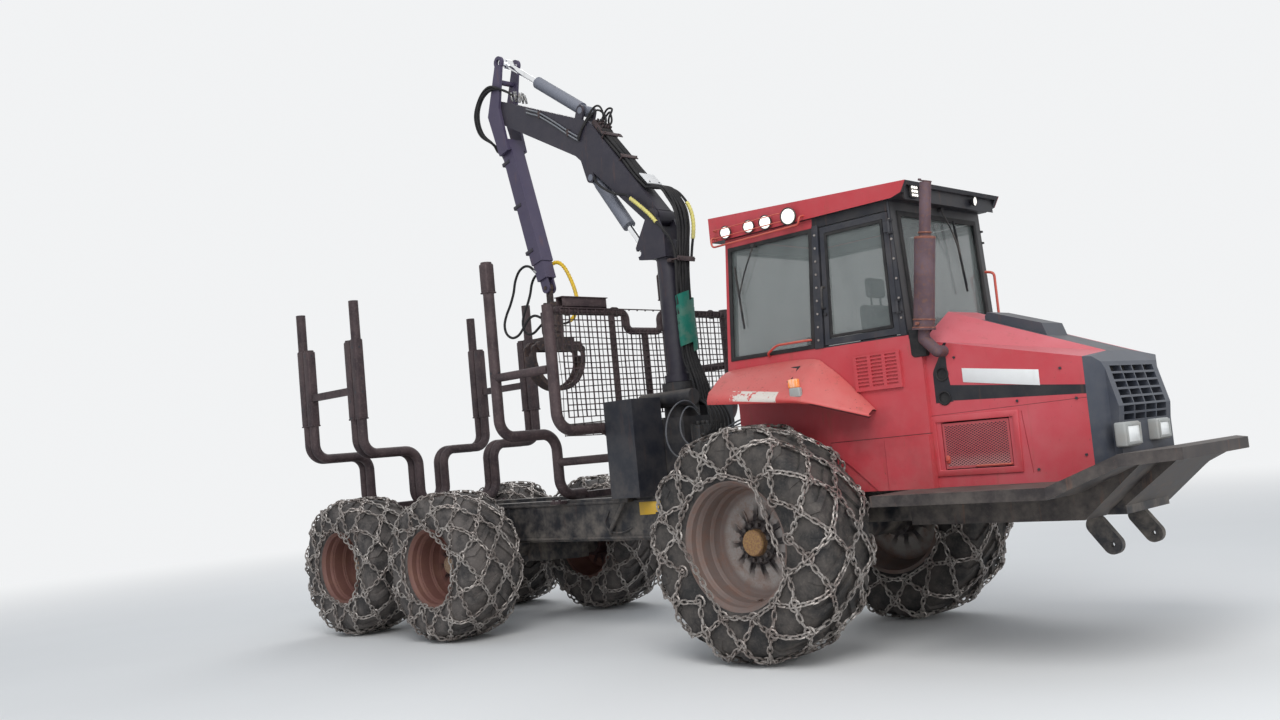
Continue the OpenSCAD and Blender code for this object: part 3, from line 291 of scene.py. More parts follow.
def worn_paint(name, colour, faded_and_lit, dust=0.35, rust=0.2, shine=0.35, mud_top=1.1, metal=0.0, marks=None):
    """marks(f) may give (mask, colour, depth) rows: other colours in places, pressed in or not."""
    f = Finish(name)
    drift = f.noise(1.4, 3, 0.55)
    cloud = f.noise(7.0, 5, 0.65)
    grain = f.noise(160.0, 2, 0.5)
    scratch = f.noise(34.0, 3, 0.7, stretch=(1, 1, 6))
    # Paler colour: painted light on the faces turned up, and sun fade in drifting patches.
    fade_and_top_light = f.facing("Z").above(0.15, 0.5) * 0.75 + drift.above(0.55, 0.22) * 0.35
    paint = f.blend(fade_and_top_light * (0.7 + 0.6 * cloud), colour, faded_and_lit)
    sunk = 0.0
    for mask, other, depth in (marks(f) if marks else ()):
        paint = f.blend(mask, paint, other)
        sunk += mask * depth
    low = f.map_range(f.axis("Z"), mud_top + 0.5, mud_top - 0.5)
    film = (cloud.above(0.52, 0.2) * (0.3 + low * 0.9) + f.facing("Z").above(0.6, 0.3) * 0.35) * dust
    dusty = f.blend(film, paint, DUST)
    chips = (f.noise(55.0, 4, 0.75).above(0.69 - 0.08 * rust, 0.015)
             * f.noise(4.0, 2).above(0.5, 0.12)) * min(1, rust * 2)
    streak = f.noise(18.0, 4, 0.6, stretch=(1, 1, 0.12)).above(0.64, 0.05) * (rust * 0.5)
    rusty = f.blend(streak, dusty, RUST)
    coat = f.blend(chips, rusty, PRIMER)
    rough = shine + cloud * 0.22 + film * 0.5 + chips * 0.3
    height = grain * 0.15 + scratch * 0.25 - chips * 0.8 - sunk
    f.done({"Metallic": metal, "Specular IOR Level": 0.4}, Base_Color=coat, Roughness=rough,
           Normal=f.bump(height, 0.35, 0.0012))


def bare_rust(name, light, dark, spots, rough=0.7, metal=0.15):
    """Steel that has lost its paint: drifting browns with pale dry dirt."""
    f = Finish(name)
    cloud = f.noise(5.0, 5, 0.65)
    fine = f.noise(42.0, 4, 0.7)
    pits = f.noise(130.0, 3, 0.7)
    base = f.blend(cloud.above(0.5, 0.2), dark, light)
    dirt = fine.above(0.58, 0.1) * 0.6
    coat = f.blend(dirt, base, spots)
    f.done({"Metallic": metal, "Specular IOR Level": 0.35}, Base_Color=coat,
           Roughness=rough + fine * 0.2, Normal=f.bump(fine * 0.6 + pits * 0.4, 0.5, 0.002))


RED = (0.46, 0.03, 0.04)
# The paler red is sun fade and painted light on the faces turned up.
FADED_AND_LIT_RED = (0.6, 0.115, 0.135)
worn_paint("red_paint", RED, FADED_AND_LIT_RED, 0.24, 0.35, 0.38)
worn_paint("black_frame", (0.012, 0.013, 0.018), (0.03, 0.031, 0.036), 0.5, 0.25, 0.42)
worn_paint("black_paint", (0.014, 0.016, 0.024), (0.035, 0.038, 0.048), 0.3, 0.15, 0.36)
worn_paint("black_nose", (0.022, 0.028, 0.045), (0.11, 0.12, 0.14), 0.22, 0.15, 0.36)
worn_paint("brown_steel", (0.014, 0.011, 0.012), (0.045, 0.036, 0.036), 0.3, 0.5, 0.42)
worn_paint("crane_paint", (0.016, 0.014, 0.024), (0.04, 0.037, 0.055), 0.18, 0.3, 0.34, 0.2)
worn_paint("stick_paint", (0.045, 0.035, 0.075), (0.09, 0.075, 0.13), 0.18, 0.35, 0.36, 0.2)
bare_rust("stake_steel", (0.085, 0.058, 0.06), (0.038, 0.026, 0.03), (0.12, 0.09, 0.085), 0.5)
bare_rust("grapple_steel", (0.07, 0.05, 0.05), (0.022, 0.018, 0.02), (0.15, 0.09, 0.06), 0.5)
bare_rust("rusty_pipe", (0.13, 0.085, 0.1), (0.085, 0.05, 0.06), (0.17, 0.085, 0.055), 0.6)
bare_rust("rusty_rim", (0.36, 0.25, 0.2), (0.2, 0.125, 0.1), (0.27, 0.1, 0.045), 0.6)
bare_rust("engine_grey", (0.1, 0.1, 0.1), (0.05, 0.05, 0.052), (0.11, 0.08, 0.06), 0.6)
worn_paint("cylinder_grey", (0.13, 0.14, 0.175), (0.22, 0.23, 0.27), 0.15, 0.25, 0.36, 0.2)
print(len(finishes), "worn finishes")

# %% [markdown]
# The other finishes each need their own recipe: worn rubber, glass with a grey cast, chrome rods,
# lamp lenses, seat cloth, hoses, chain steel and the floor.

# %% Rubber, glass, chrome and cloth
def worn_rubber(name, base, dusty, amount):
    f = Finish(name)
    cloud = f.noise(6.0, 5, 0.65)
    fine = f.noise(60.0, 4, 0.7)
    film = cloud.above(0.5, 0.18) * 0.7 + fine.above(0.6, 0.1) * 0.3
    coat = f.blend(film * amount, base, dusty)
    f.done({"Specular IOR Level": 0.3}, Base_Color=coat, Roughness=0.62 + cloud * 0.25,
           Normal=f.bump(fine * 0.5 + cloud * 0.5, 0.4, 0.003))


def tinted_glass(name, tint, alpha, film=0.12):
    f = Finish(name)
    cloud = f.noise(3.0, 4, 0.6)
    smear = f.noise(5.0, 3, 0.5, stretch=(1, 1, 0.5)).above(0.55, 0.35) * film
    coat = f.blend(smear, tint, (0.62, 0.64, 0.62))
    f.done({"IOR": 1.45, "Specular IOR Level": 0.7}, Base_Color=coat,
           Roughness=0.03 + cloud * 0.06 + smear * 0.4, Alpha=alpha + smear)


def polished_rod(name):
    f = Finish(name)
    turned = f.noise(220.0, 2, 0.5, stretch=(1, 1, 0.05))
    film = f.noise(9.0, 4, 0.6).above(0.62, 0.1) * 0.35
    coat = f.blend(film, (0.86, 0.87, 0.88), (0.35, 0.31, 0.27))
    f.done({"Metallic": 1.0}, Base_Color=coat, Roughness=0.12 + film * 0.5,
           Normal=f.bump(turned, 0.12, 0.0004))


def lens(name, colour, glow=0.0):
    f = Finish(name)
    ribs = f.noise(90.0, 1, 0.3, stretch=(1, 1, 0.2))
    coat = f.blend(ribs.above(0.5, 0.2) * 0.3, colour, (0.9, 0.9, 0.9))
    f.done({"Coat Weight": 0.6, "Specular IOR Level": 0.7, "Emission Strength": glow},
           Base_Color=coat, Roughness=0.1 + ribs * 0.15, Emission_Color=coat,
           Normal=f.bump(ribs, 0.3, 0.002))


def moulded(name, colour, rough=0.55, dust=0.25):
    f = Finish(name)
    grain = f.noise(280.0, 2, 0.6)
    cloud = f.noise(8.0, 4, 0.6)
    coat = f.blend(cloud.above(0.55, 0.15) * dust, colour, DUST)
    f.done({"Specular IOR Level": 0.4}, Base_Color=coat, Roughness=rough + cloud * 0.15,
           Normal=f.bump(grain, 0.3, 0.0008))


def woven(name, colour, light):
    f = Finish(name)
    warp = f.node("ShaderNodeTexWave", {"wave_type": "BANDS", "bands_direction": "Y"},
                  {"Vector": f.place(), "Scale": 120.0, "Distortion": 0.4})
    weft = f.node("ShaderNodeTexWave", {"wave_type": "BANDS", "bands_direction": "Z"},
                  {"Vector": f.place(), "Scale": 120.0, "Distortion": 0.4})
    weave = f.math("MAXIMUM", warp, weft)
    cloud = f.noise(9.0, 4, 0.6)
    coat = f.blend(weave * 0.5 + cloud * 0.3, colour, light)
    f.done({"Sheen Weight": 0.3}, Base_Color=coat, Roughness=0.85 + cloud * 0.1,
           Normal=f.bump(weave, 0.5, 0.001))


def studio_floor(name):
    """Pale and rough; far out, the camera sees the background's own colour, so no horizon shows."""
    f = Finish(name)
    cloud = f.noise(0.6, 3, 0.5)
    coat = f.blend(cloud, PALE, PALER)
    f.done({"Specular IOR Level": 0.2}, Base_Color=coat, Roughness=0.75 + cloud * 0.1)
    x, y = f.axis("X"), f.axis("Y")
    far = f.map_range((x * x + y * y) ** 0.5, 6.0, 21.0)
    seen = f.node("ShaderNodeLightPath", out="Is Camera Ray")
    glow = f.tree.nodes.new("ShaderNodeEmission")
    glow.inputs["Color"].default_value = BACKDROP
    glow.inputs["Strength"].default_value = BACKDROP_STRENGTH
    mix = f.tree.nodes.new("ShaderNodeMixShader")
    f.join(far * seen, mix.inputs["Fac"])
    shader = next(n for n in f.tree.nodes if n.type == "BSDF_PRINCIPLED")
    end = next(n for n in f.tree.nodes if n.type == "OUTPUT_MATERIAL")
    f.tree.links.new(shader.outputs[0], mix.inputs[1])
    f.tree.links.new(glow.outputs[0], mix.inputs[2])
    f.tree.links.new(mix.outputs[0], end.inputs["Surface"])


worn_rubber("tyre_rubber", (0.022, 0.022, 0.023), (0.15, 0.13, 0.115), 0.75)
worn_rubber("dusty_rubber", (0.04, 0.038, 0.038), (0.2, 0.175, 0.16), 0.9)
worn_rubber("hose_rubber", (0.014, 0.014, 0.016), (0.07, 0.065, 0.06), 0.5)
tinted_glass("window_glass", (0.16, 0.185, 0.18), 0.4)
polished_rod("chrome_rod")
lens("lamp_glass", (0.75, 0.77, 0.76), 0.15)
lens("amber_lens", (0.85, 0.25, 0.02), 0.2)
moulded("black_plastic", (0.02, 0.02, 0.023))
moulded("grey_plastic", (0.19, 0.2, 0.22), 0.5)
moulded("pale_plastic", (0.36, 0.37, 0.36), 0.5, 0.35)
moulded("yellow_plastic", (0.74, 0.66, 0.2), 0.45, 0.3)
woven("seat_cloth", (0.016, 0.02, 0.032), (0.05, 0.055, 0.07))
worn_paint("yellow_plate", (0.72, 0.42, 0.02), (0.74, 0.5, 0.12), 0.25, 0.15, 0.4)
worn_paint("white_plate", (0.72, 0.73, 0.73), (0.8, 0.8, 0.79), 0.3, 0.1, 0.45)
bare_rust("chain_steel", (0.4, 0.37, 0.345), (0.2, 0.165, 0.15), (0.52, 0.49, 0.46), 0.34, 0.55)
studio_floor("floor")
print(len(finishes), "finishes in all")

# %% [markdown]
# Every node of the frame gets its finish from the slot that the record names for it. A few nodes
# take another one, because one slot of the record covers several shades of the real machine. The
# frame is dressed further down, once the marked finishes of its red plates exist.

# %% Finishes for the frame
OTHER_FINISH = {"stick": "stick_paint", "stick_extension": "stick_paint", "cab_body": "cab_red",
                "hood": "hood_red", "cab_roof": "roof_red", "fenders": "fender_red",
                "side_panel_right": "mesh_red", "side_panel_left": "mesh_red"}
REAR_TYRES = [n for n in nodes if n.startswith("tyre_") and "front" not in n]


def dress_frame():
    for part in frame["record"]["subparts"]:
        name = part["node"]
        look = OTHER_FINISH.get(name, part["material_slot"])
        if name in REAR_TYRES:
            look = "dusty_rubber"
        mesh = nodes[name].data
        mesh.materials.clear()
        mesh.materials.append(finishes[look])


def add_floor():
    bpy.ops.mesh.primitive_plane_add(size=FLOOR_SIZE)
    floor = bpy.context.object
    floor.name = "floor"
    floor.data.materials.append(finishes["floor"])
    bpy.ops.object.select_all(action="DESELECT")


add_floor()
print("floor laid")

# %% [markdown]
# New pieces are modelled as by hand: a primitive is added, shaped in edit mode and finished with
# modifiers. These helpers keep that short. Each finished piece sits at the origin with its place
# in its mesh, takes a finish, and rides on a body of the frame, unless it is given two bodies,
# and then it rides on none.

# %% Modelling helpers
MERGE = 0.0001


def only(obj):
    bpy.ops.object.select_all(action="DESELECT")
    obj.select_set(True)
    bpy.context.view_layer.objects.active = obj


def settle(obj):
    """Puts the object's place, turn and size into its mesh."""
    only(obj)
    bpy.ops.object.transform_apply(location=True, rotation=True, scale=True)


def apply_modifiers(obj):
    only(obj)
    for modifier in list(obj.modifiers):
        bpy.ops.object.modifier_apply(modifier=modifier.name)


def smooth(obj, degrees=35.0):
    only(obj)
    bpy.ops.object.shade_smooth_by_angle(angle=math.radians(degrees))


def edit_all(obj):
    only(obj)
    bpy.ops.object.mode_set(mode="EDIT")
    bpy.ops.mesh.select_all(action="SELECT")


def tidy_shell(obj):
    """Merges doubles and turns every face outwards."""
    edit_all(obj)
    bpy.ops.mesh.remove_doubles(threshold=MERGE)
    bpy.ops.mesh.normals_make_consistent(inside=False)
    bpy.ops.object.mode_set(mode="OBJECT")


def join_all(objects):
    """Joins the objects to the first one, which is returned."""
    only(objects[0])
    for obj in objects[1:]:
        obj.select_set(True)
    if len(objects) > 1:
        bpy.ops.object.join()
    return bpy.context.object


def finish_piece(made, name, look, body="front_frame", replaced=()):
    """made is an object or a list to join; body is a name, or a tuple (first, second, start, end)
    whose parts are not used; such a piece rides on no body.
    """
    obj = join_all(made) if isinstance(made, list) else made
    settle(obj)
    obj.name = name
    obj.data.name = name
    obj.data.materials.clear()
    obj.data.materials.append(finishes[look])
    if isinstance(body, tuple):
        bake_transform(obj)
    else:
        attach(obj, body)
    if replaced:
        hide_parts(*replaced)
    bpy.ops.object.select_all(action="DESELECT")
    return obj


def outline_loop(points):
    """A closed loop of edges through the points, made from a circle of as many vertices."""
    bpy.ops.mesh.primitive_circle_add(vertices=len(points), radius=1.0)
    obj = bpy.context.object
    for vertex, point in zip(obj.data.vertices, points):
        vertex.co = point
    return obj


def spun(points, centre, steps):
    """Spins a closed outline of (y, radius) points round the Y axis through the centre."""
    cx, cy, cz = centre
    obj = outline_loop([(cx, cy + y, cz + r) for y, r in points])
    edit_all(obj)
    bpy.ops.mesh.spin(steps=steps, angle=2 * math.pi, center=centre, axis=(0, 1, 0))
    bpy.ops.object.mode_set(mode="OBJECT")
    tidy_shell(obj)
    return obj


def copies(seed, places):
    """One mesh that holds a copy of the seed at each 4x4 place."""
    corners = [v.co.copy() for v in seed.data.vertices]
    faces = [tuple(p.vertices) for p in seed.data.polygons]
    points, loops = [], []
    for place in places:
        base = len(points)
        points.extend(place @ corner for corner in corners)
        loops.extend(tuple(base + i for i in face) for face in faces)
    mesh = bpy.data.meshes.new("copies")
    mesh.from_pydata(points, [], loops)
    mesh.update()
    obj = new_object("copies", mesh)
    bpy.data.objects.remove(seed)
    return obj


print("modelling helpers ready")

# %% [markdown]
# Each tyre is a smooth carcass with slanted lugs. The outline across it is a smooth curve, walked
# by its length from the crown, so that lugs and chains can be laid on the rubber by three numbers:
# how far across, how far round, and how high above it.

# %% The tyre's section
TYRE_HALF = 0.3
LUG_HEIGHT = 0.024
CHAIN_HEIGHT = 0.02
SECTION = ((0.0, 1.0), (0.36, 0.997), (0.66, 0.972), (0.86, 0.915), (0.96, 0.8), (1.0, 0.6),
           (0.99, 0.38), (0.95, 0.18), (0.88, 0.045))
FINE = 5


class Section:
    """The rubber's outline from the crown to the bead, as (across, radius) with its length."""

    def __init__(self, rim, tip):
        self.tip = tip
        crown = tip - CHAIN_HEIGHT - LUG_HEIGHT
        rough = [(y * TYRE_HALF, rim + (crown - rim) * h) for y, h in SECTION]
        rough = [(-rough[1][0], rough[1][1])] + rough + [(0.2, rim - 0.03)]
        self.points = []
        for i in range(1, len(rough) - 2):
            for k in range(FINE):
                self.points.append(self.bend(rough[i - 1:i + 3], k / FINE))
        self.points.append(rough[-2])
        self.lengths = [0.0]
        for a, b in zip(self.points, self.points[1:]):
            self.lengths.append(self.lengths[-1] + math.dist(a, b))

    @staticmethod
    def bend(four, t):
        p, a, b, n = four
        return tuple(0.5 * (2 * a[k] + (b[k] - p[k]) * t
                            + (2 * p[k] - 5 * a[k] + 4 * b[k] - n[k]) * t ** 2
                            + (3 * a[k] - p[k] - 3 * b[k] + n[k]) * t ** 3) for k in (0, 1))

    def at(self, across, high=0.0):
        """(y, radius) at that length from the crown and that height above the rubber."""
        side = 1 if across >= 0 else -1
        want = min(abs(across), self.lengths[-1] - 0.001)
        i = 0
        while self.lengths[i + 1] < want:
            i += 1
        (y0, r0), (y1, r1) = self.points[i], self.points[i + 1]
        t = (want - self.lengths[i]) / (self.lengths[i + 1] - self.lengths[i])
        long = math.dist((y0, r0), (y1, r1))
        ny, nr = (r0 - r1) / long, (y1 - y0) / long
        return side * (y0 + (y1 - y0) * t + ny * high), r0 + (r1 - r0) * t + nr * high

    def place(self, centre, across, turn, high=0.0):
        y, r = self.at(across, high)
        r = min(r, self.tip - 0.001)
        return Vector((centre[0] + r * math.sin(turn), centre[1] + y, centre[2] + r * math.cos(turn)))


def wheel_centre(node):
    low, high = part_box(node)
    return tuple((a + b) / 2 for a, b in zip(low, high))


RIM_RADIUS = {"front": 0.432, "rear": 0.336}
WHEELS = [n[5:] for n in nodes if n.startswith("tyre_")]


def wheel_size(wheel):
    kind = "front" if "front" in wheel else "rear"
    low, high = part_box("tyre_" + wheel)
    return kind, Section(RIM_RADIUS[kind], (high[2] - low[2]) / 2)


print("wheels:", WHEELS)

# %% [markdown]
# A lug starts as a cube cut into slices. Each corner is then moved onto the tyre: the slices run
# from the crown out over the shoulder, and the bar leans back on the way, as a traction lug does.

# %% Tyres
LUGS = {"front": 20, "rear": 18}
LUG_SLICES = 6
LUG_WIDTH, LUG_FLARE, LUG_TAPER = 0.062, 0.35, 0.18
LUG_REACH, LUG_LEAN, LUG_ROOT = 0.6, 0.3, 0.006
APART = 4.0


def lug_seed():
    """A bar of slices: X across its width, Y along it from 0 to 1, Z from 0 to 1."""
    bpy.ops.mesh.primitive_grid_add(x_subdivisions=2, y_subdivisions=LUG_SLICES, size=1.0)
    bar = bpy.context.object
    edit_all(bar)
    bpy.ops.mesh.extrude_region_move(TRANSFORM_OT_translate={"value": (0, 0, 1)})
    bpy.ops.mesh.select_all(action="SELECT")
    bpy.ops.mesh.normals_make_consistent(inside=False)
    bpy.ops.object.mode_set(mode="OBJECT")
    return bar


def add_lugs(section, centre, kind):
    count = LUGS[kind]
    reach = section.lengths[-1] * LUG_REACH
    seed = lug_seed()
    ring = copies(seed, [Matrix.Translation((APART * i, 0, 0)) for i in range(2 * count)])
    for vertex in ring.data.vertices:
        i = round(vertex.co.x / APART)
        x, y, z = vertex.co.x - APART * i, vertex.co.y + 0.5, vertex.co.z
        side = 1 if i % 2 else -1
        across = 0.012 + y * reach
        width = LUG_WIDTH * (1 + LUG_FLARE * y) * (1 - LUG_TAPER * z)
        lean = LUG_LEAN * min(1.0, y * 1.5) * section.at(across)[1]
        turn = (i * math.pi / count) + (lean + x * width) / section.at(across)[1]
        fade = 1 - max(0.0, y - 0.6) * 2.0
        high = z * (LUG_ROOT + LUG_HEIGHT * fade) - LUG_ROOT
        vertex.co = section.place(centre, side * across, turn, high)
    return ring


def add_tyre(wheel):
    kind, section = wheel_size(wheel)
    centre = wheel_centre("rim_" + wheel)
    half = [section.at(s) for s in section.lengths]
    bead_y, bead_r = half[-1]
    outline = ([(-y, r) for y, r in reversed(half[1:])] + half
               + [(bead_y - 0.03, bead_r), (0.03 - bead_y, bead_r)])
    carcass = spun(outline, centre, 72)
    tyre = join_all([carcass, add_lugs(section, centre, kind)])
    tidy_shell(tyre)
    smooth(tyre, 40)
    look = "tyre_rubber" if kind == "front" else "dusty_rubber"
    return finish_piece(tyre, "rubber_" + wheel, look, "wheel_" + wheel, ["tyre_" + wheel])


for wheel in WHEELS:
    add_tyre(wheel)
print("tyres:", len(WHEELS))

# %% [markdown]
# The wheels wear ring chains for forest ground: a net of links with a ring at every crossing, and
# a side chain drawn tight round the rim. One link is a torus with its two halves moved apart, and
# the copies are laid end to end, each turned a right angle from the last. The rings are moved a
# little at random, because a loose net never hangs evenly.

# %% Tyre chains
LINK_LONG, LINK_WIDE, LINK_WIRE = 0.078, 0.048, 0.0072
RING_RADIUS, RING_WIRE = 0.04, 0.0082
NET = {"front": 13, "rear": 11}
NET_ROWS, NET_EDGE, NET_CROWN = 8, 0.9, 0.45
NET_LIFT, SIDE_CHAIN_LIFT = 0.01, 0.014
LOOSE_TURN, LOOSE_ACROSS, RING_TILT, LINK_TILT = 0.1, 0.012, 0.25, 0.15
CHORDS = {"front": (2, 3, 8, 9), "rear": (1, 6)}


def torus(major, minor, sides=8, wire_sides=4):
    bpy.ops.mesh.primitive_torus_add(major_segments=sides, minor_segments=wire_sides,
                                     major_radius=major, minor_radius=minor)
    return bpy.context.object


def link_seed():
    """A link along X: half of the torus goes forward and half goes back."""
    seed = torus(LINK_WIDE / 2 - LINK_WIRE, LINK_WIRE)
    stretch = (LINK_LONG - LINK_WIDE) / 2
    for vertex in seed.data.vertices:
        if abs(vertex.co.x) > 0.002:
            vertex.co.x += math.copysign(stretch, vertex.co.x)
    return seed


def link_places(path, up):
    """Places for links laid end to end on the path; up(point) is the way out of the rubber."""
    pitch = LINK_LONG - 4 * LINK_WIRE
    long = sum((b - a).length for a, b in zip(path, path[1:]))
    count = max(1, round(long / pitch))
    step = long / count
    places, turned = [], random.random() < 0.5
    walked, i = 0.0, 0
    for n in range(count):
        want = (n + 0.5) * step
        while walked + (path[i + 1] - path[i]).length < want and i < len(path) - 2:
            walked += (path[i + 1] - path[i]).length
            i += 1
        ahead = (path[i + 1] - path[i]).normalized()
        at = path[i] + ahead * (want - walked)
        out = up(at)
        side = out.cross(ahead).normalized()
        out = ahead.cross(side)
        roll = math.radians(38 if turned else -52) + random.uniform(-LINK_TILT, LINK_TILT)
        turned = not turned
        y_axis = side * math.cos(roll) + out * math.sin(roll)
        z_axis = ahead.cross(y_axis)
        places.append(axes_at(at, ahead, y_axis, z_axis))
    return places


def chain_rows(section):
    """How far across each row of rings lies, from the outer side chain to the inner one."""
    edge = section.lengths[-1] * NET_EDGE
    return [edge * (2 * k / (NET_ROWS - 1) - 1) for k in range(NET_ROWS)]


def add_chain(wheel):
    kind, section = wheel_size(wheel)
    centre = wheel_centre("rim_" + wheel)
    middle = Vector(centre)
    count = NET[kind]
    pitch = 2 * math.pi / count
    crown = section.lengths[-1] * NET_CROWN

    def lift(across):
        return LUG_HEIGHT * max(0.0, 1 - max(0.0, abs(across) - crown * 0.8) / crown) + NET_LIFT

    def out_of(point):
        flat = point - middle
        round_part = Vector((flat.x, 0, flat.z)).normalized()
        lean = flat.y / TYRE_HALF
        return (round_part * (1.1 - abs(lean)) + Vector((0, lean, 0))).normalized()

    rows = chain_rows(section)
    spots = {}
    for k, across in enumerate(rows):
        for i in range(count):
            turn = (i + 0.5 * (k % 2)) * pitch + random.uniform(-LOOSE_TURN, LOOSE_TURN) * pitch
            spots[k, i] = (across + random.uniform(-LOOSE_ACROSS, LOOSE_ACROSS) * (0 < k < NET_ROWS - 1),
                           turn)

    def walk(a, b, parts=5):
        (s0, t0), (s1, t1) = a, b
        t1 += 2 * math.pi * round((t0 - t1) / (2 * math.pi))
        return [section.place(centre, s0 + (s1 - s0) * q / parts, t0 + (t1 - t0) * q / parts,
                              lift(s0 + (s1 - s0) * q / parts)) for q in range(parts + 1)]

    links, rings = [], []
    for k in range(NET_ROWS - 1):
        for i in range(count):
            shift = 1 if k % 2 else 0
            for j in (i, (i - 1 + 2 * shift) % count):
                links.extend(link_places(walk(spots[k, i], spots[k + 1, j]), out_of))
    for (across, turn) in spots.values():
        at = section.place(centre, across, turn, lift(across))
        z_axis = (out_of(at) + Vector([random.uniform(-RING_TILT, RING_TILT)
                                       for _ in range(3)])).normalized()
        x_axis = z_axis.orthogonal().normalized()
        rings.append(axes_at(at, x_axis, z_axis.cross(x_axis), z_axis))
    for k in (0, NET_ROWS - 1):
        held = [spots[k, i] for i in range(count) if i not in CHORDS[kind]]
        for a, b in zip(held, held[1:] + held[:1]):
            ends = [section.place(centre, s, t, SIDE_CHAIN_LIFT) for s, t in (a, b)]
            for end in ends:
                end.y = centre[1] + math.copysign(TYRE_HALF + 0.006, end.y - centre[1])
            links.extend(link_places(ends, out_of))
    chain = join_all([copies(link_seed(), links), copies(torus(RING_RADIUS, RING_WIRE, 10, 5), rings)])
    for vertex in chain.data.vertices:
        flat = Vector((vertex.co.x - centre[0], 0, vertex.co.z - centre[2]))
        if flat.length > section.tip:
            flat *= section.tip / flat.length
            vertex.co = Vector((centre[0] + flat.x, vertex.co.y, centre[2] + flat.z))
    smooth(chain, 60)
    finish_piece(chain, "chain_" + wheel, "chain_steel", "wheel_" + wheel)
    return len(links)


for wheel in WHEELS:
    print("links on", wheel, add_chain(wheel))

# %% [markdown]
# The red plates aren't red all over. The cab's window posts, the top of the hood, its stripe and
# the plate round its two ports are black. They are places in the same sheet, so they are marks in
# its paint: masks worked out from the object's own coordinates, each sunk or raised a little.

# %% Marks on the red plates
BLACK = (0.01, 0.011, 0.016)
GREY_BLACK = (0.055, 0.06, 0.075)
SEAM = (0.05, 0.012, 0.014)
LINING = (0.045, 0.045, 0.048)


def between(f, value, low, high, soft=0.0015):
    return f.map_range(value, low - soft, low + soft) * f.map_range(value, high + soft, high - soft)


def cab_marks(f):
    x, z = f.axis("X"), f.axis("Z")
    y = f.math("ABSOLUTE", f.axis("Y"))
    post = f.map_range(x - (z - 2.13) * 0.092, 1.945, 1.949) * f.map_range(z, 2.124, 2.128)
    inside = f.map_range(y, 0.597, 0.594) * between(f, x, 1.14, 2.74)
    inside = f.math("MAXIMUM", inside * f.map_range(z, 3.04, 3.03), f.map_range(z, 3.044, 3.0448))
    seam = between(f, z - (x - 2.0) * 0.01, 1.4575, 1.4625) * f.map_range(x, 1.99, 2.0)
    # Painted shade: the red darkens in cloudy patches towards the bottom of the cab's sides.
    low_painted_shade = f.noise(2.2, 4, 0.6).above(0.56, 0.12) * f.map_range(z, 1.75, 1.5) * 0.4
    return ((low_painted_shade, (0.17, 0.02, 0.025), 0.0), (seam, SEAM, 0.6), (post, BLACK, 0.0),
            (inside, LINING, 0.0))


def hood_marks(f):
    x, z = f.axis("X"), f.axis("Z")
    y = f.math("ABSOLUTE", f.axis("Y"))
    wall = f.map_range(y, 0.548, 0.552)
    top = f.map_range(y, 0.2005, 0.1985) * f.map_range(x, 3.02, 3.028) * f.map_range(z, 1.7, 1.75)
    run = x - 2.96
    stripe = f.map_range(z + run * 0.047, 1.661, 1.665) * f.map_range(z + run * 0.101, 1.767, 1.763)
    stripe = stripe * f.map_range(x, 2.9, 2.91) * wall
    left = f.map_range(z, 1.84, 1.985, 2.833, 2.895) + f.map_range(z, 1.985, 2.08, 0.0, 0.06)
    right = f.map_range(z, 1.66, 1.9, 2.96, 2.94) + f.map_range(z, 2.0, 2.08, 0.0, 0.028)
    port = f.map_range(x - left, -0.001, 0.001) * f.map_range(x - right, 0.001, -0.001)
    port = port * between(f, z, 1.657, 2.075) * wall
    seam = between(f, z - (x - 2.8) * 0.02, 1.5765, 1.5795) * wall
    under = f.map_range(y, 0.534, 0.53) * f.map_range(z, 1.78, 1.7)
    return ((seam, SEAM, 0.5), (top, GREY_BLACK, 0.0), (stripe, BLACK, 0.0), (port, BLACK, -0.3),
            (under, LINING, 0.0))


def roof_marks(f):
    x = f.axis("X")
    y = f.math("ABSOLUTE", f.axis("Y"))
    visor = f.map_range(x, 2.7, 2.712) * f.map_range(y, 0.638, 0.632)
    under = f.map_range(f.facing("Z"), -0.4, -0.6)
    return ((f.math("MAXIMUM", visor, under), BLACK, 0.0),)


def fender_marks(f):
    """Painted shade on the faces turned down, and the rest of a torn pale sticker on the lip."""
    x, z = f.axis("X"), f.axis("Z")
    y = f.math("ABSOLUTE", f.axis("Y"))
    # Painted shade: the faces turned down are a darker red.
    under = f.map_range(f.facing("Z"), -0.1, -0.3) * f.map_range(y, 0.9, 0.88)
    slope = z + (x - 1.6) * 0.12
    sticker = between(f, x, 1.385, 1.8, 0.004) * between(f, slope, 1.8, 1.872, 0.003)
    sticker = sticker * f.map_range(y, 0.872, 0.878)
    torn = f.map_range(f.noise(17.0, 4, 0.7) + (x - 1.6) * 0.5, 0.4, 0.43)
    return ((under, (0.1, 0.014, 0.018), 0.0), (sticker * torn, (0.7, 0.64, 0.58), 0.0))


def mesh_marks(f):
    """Expanded metal: rows of diamond holes inside a plain rim; the holes get painted shade."""
    x, z = f.axis("X"), f.axis("Z")
    rim = between(f, x, 2.872, 3.308) * between(f, z, 1.242, 1.504)
    a = f.math("FRACT", x * 36.0 + z * 62.0) - 0.5
    b = f.math("FRACT", x * 36.0 - z * 62.0 + 100.0) - 0.5
    a, b = f.math("ABSOLUTE", a), f.math("ABSOLUTE", b)
    # The holes are painted near black: painted shade of the space behind the mesh.
    hole = f.map_range(a, 0.37, 0.31) * f.map_range(b, 0.37, 0.31)
    pale = f.map_range(z, 1.33, 1.25) * rim * 0.45
    return ((pale, (0.62, 0.36, 0.34), 0.0), (hole * rim, (0.035, 0.014, 0.018), 1.4))


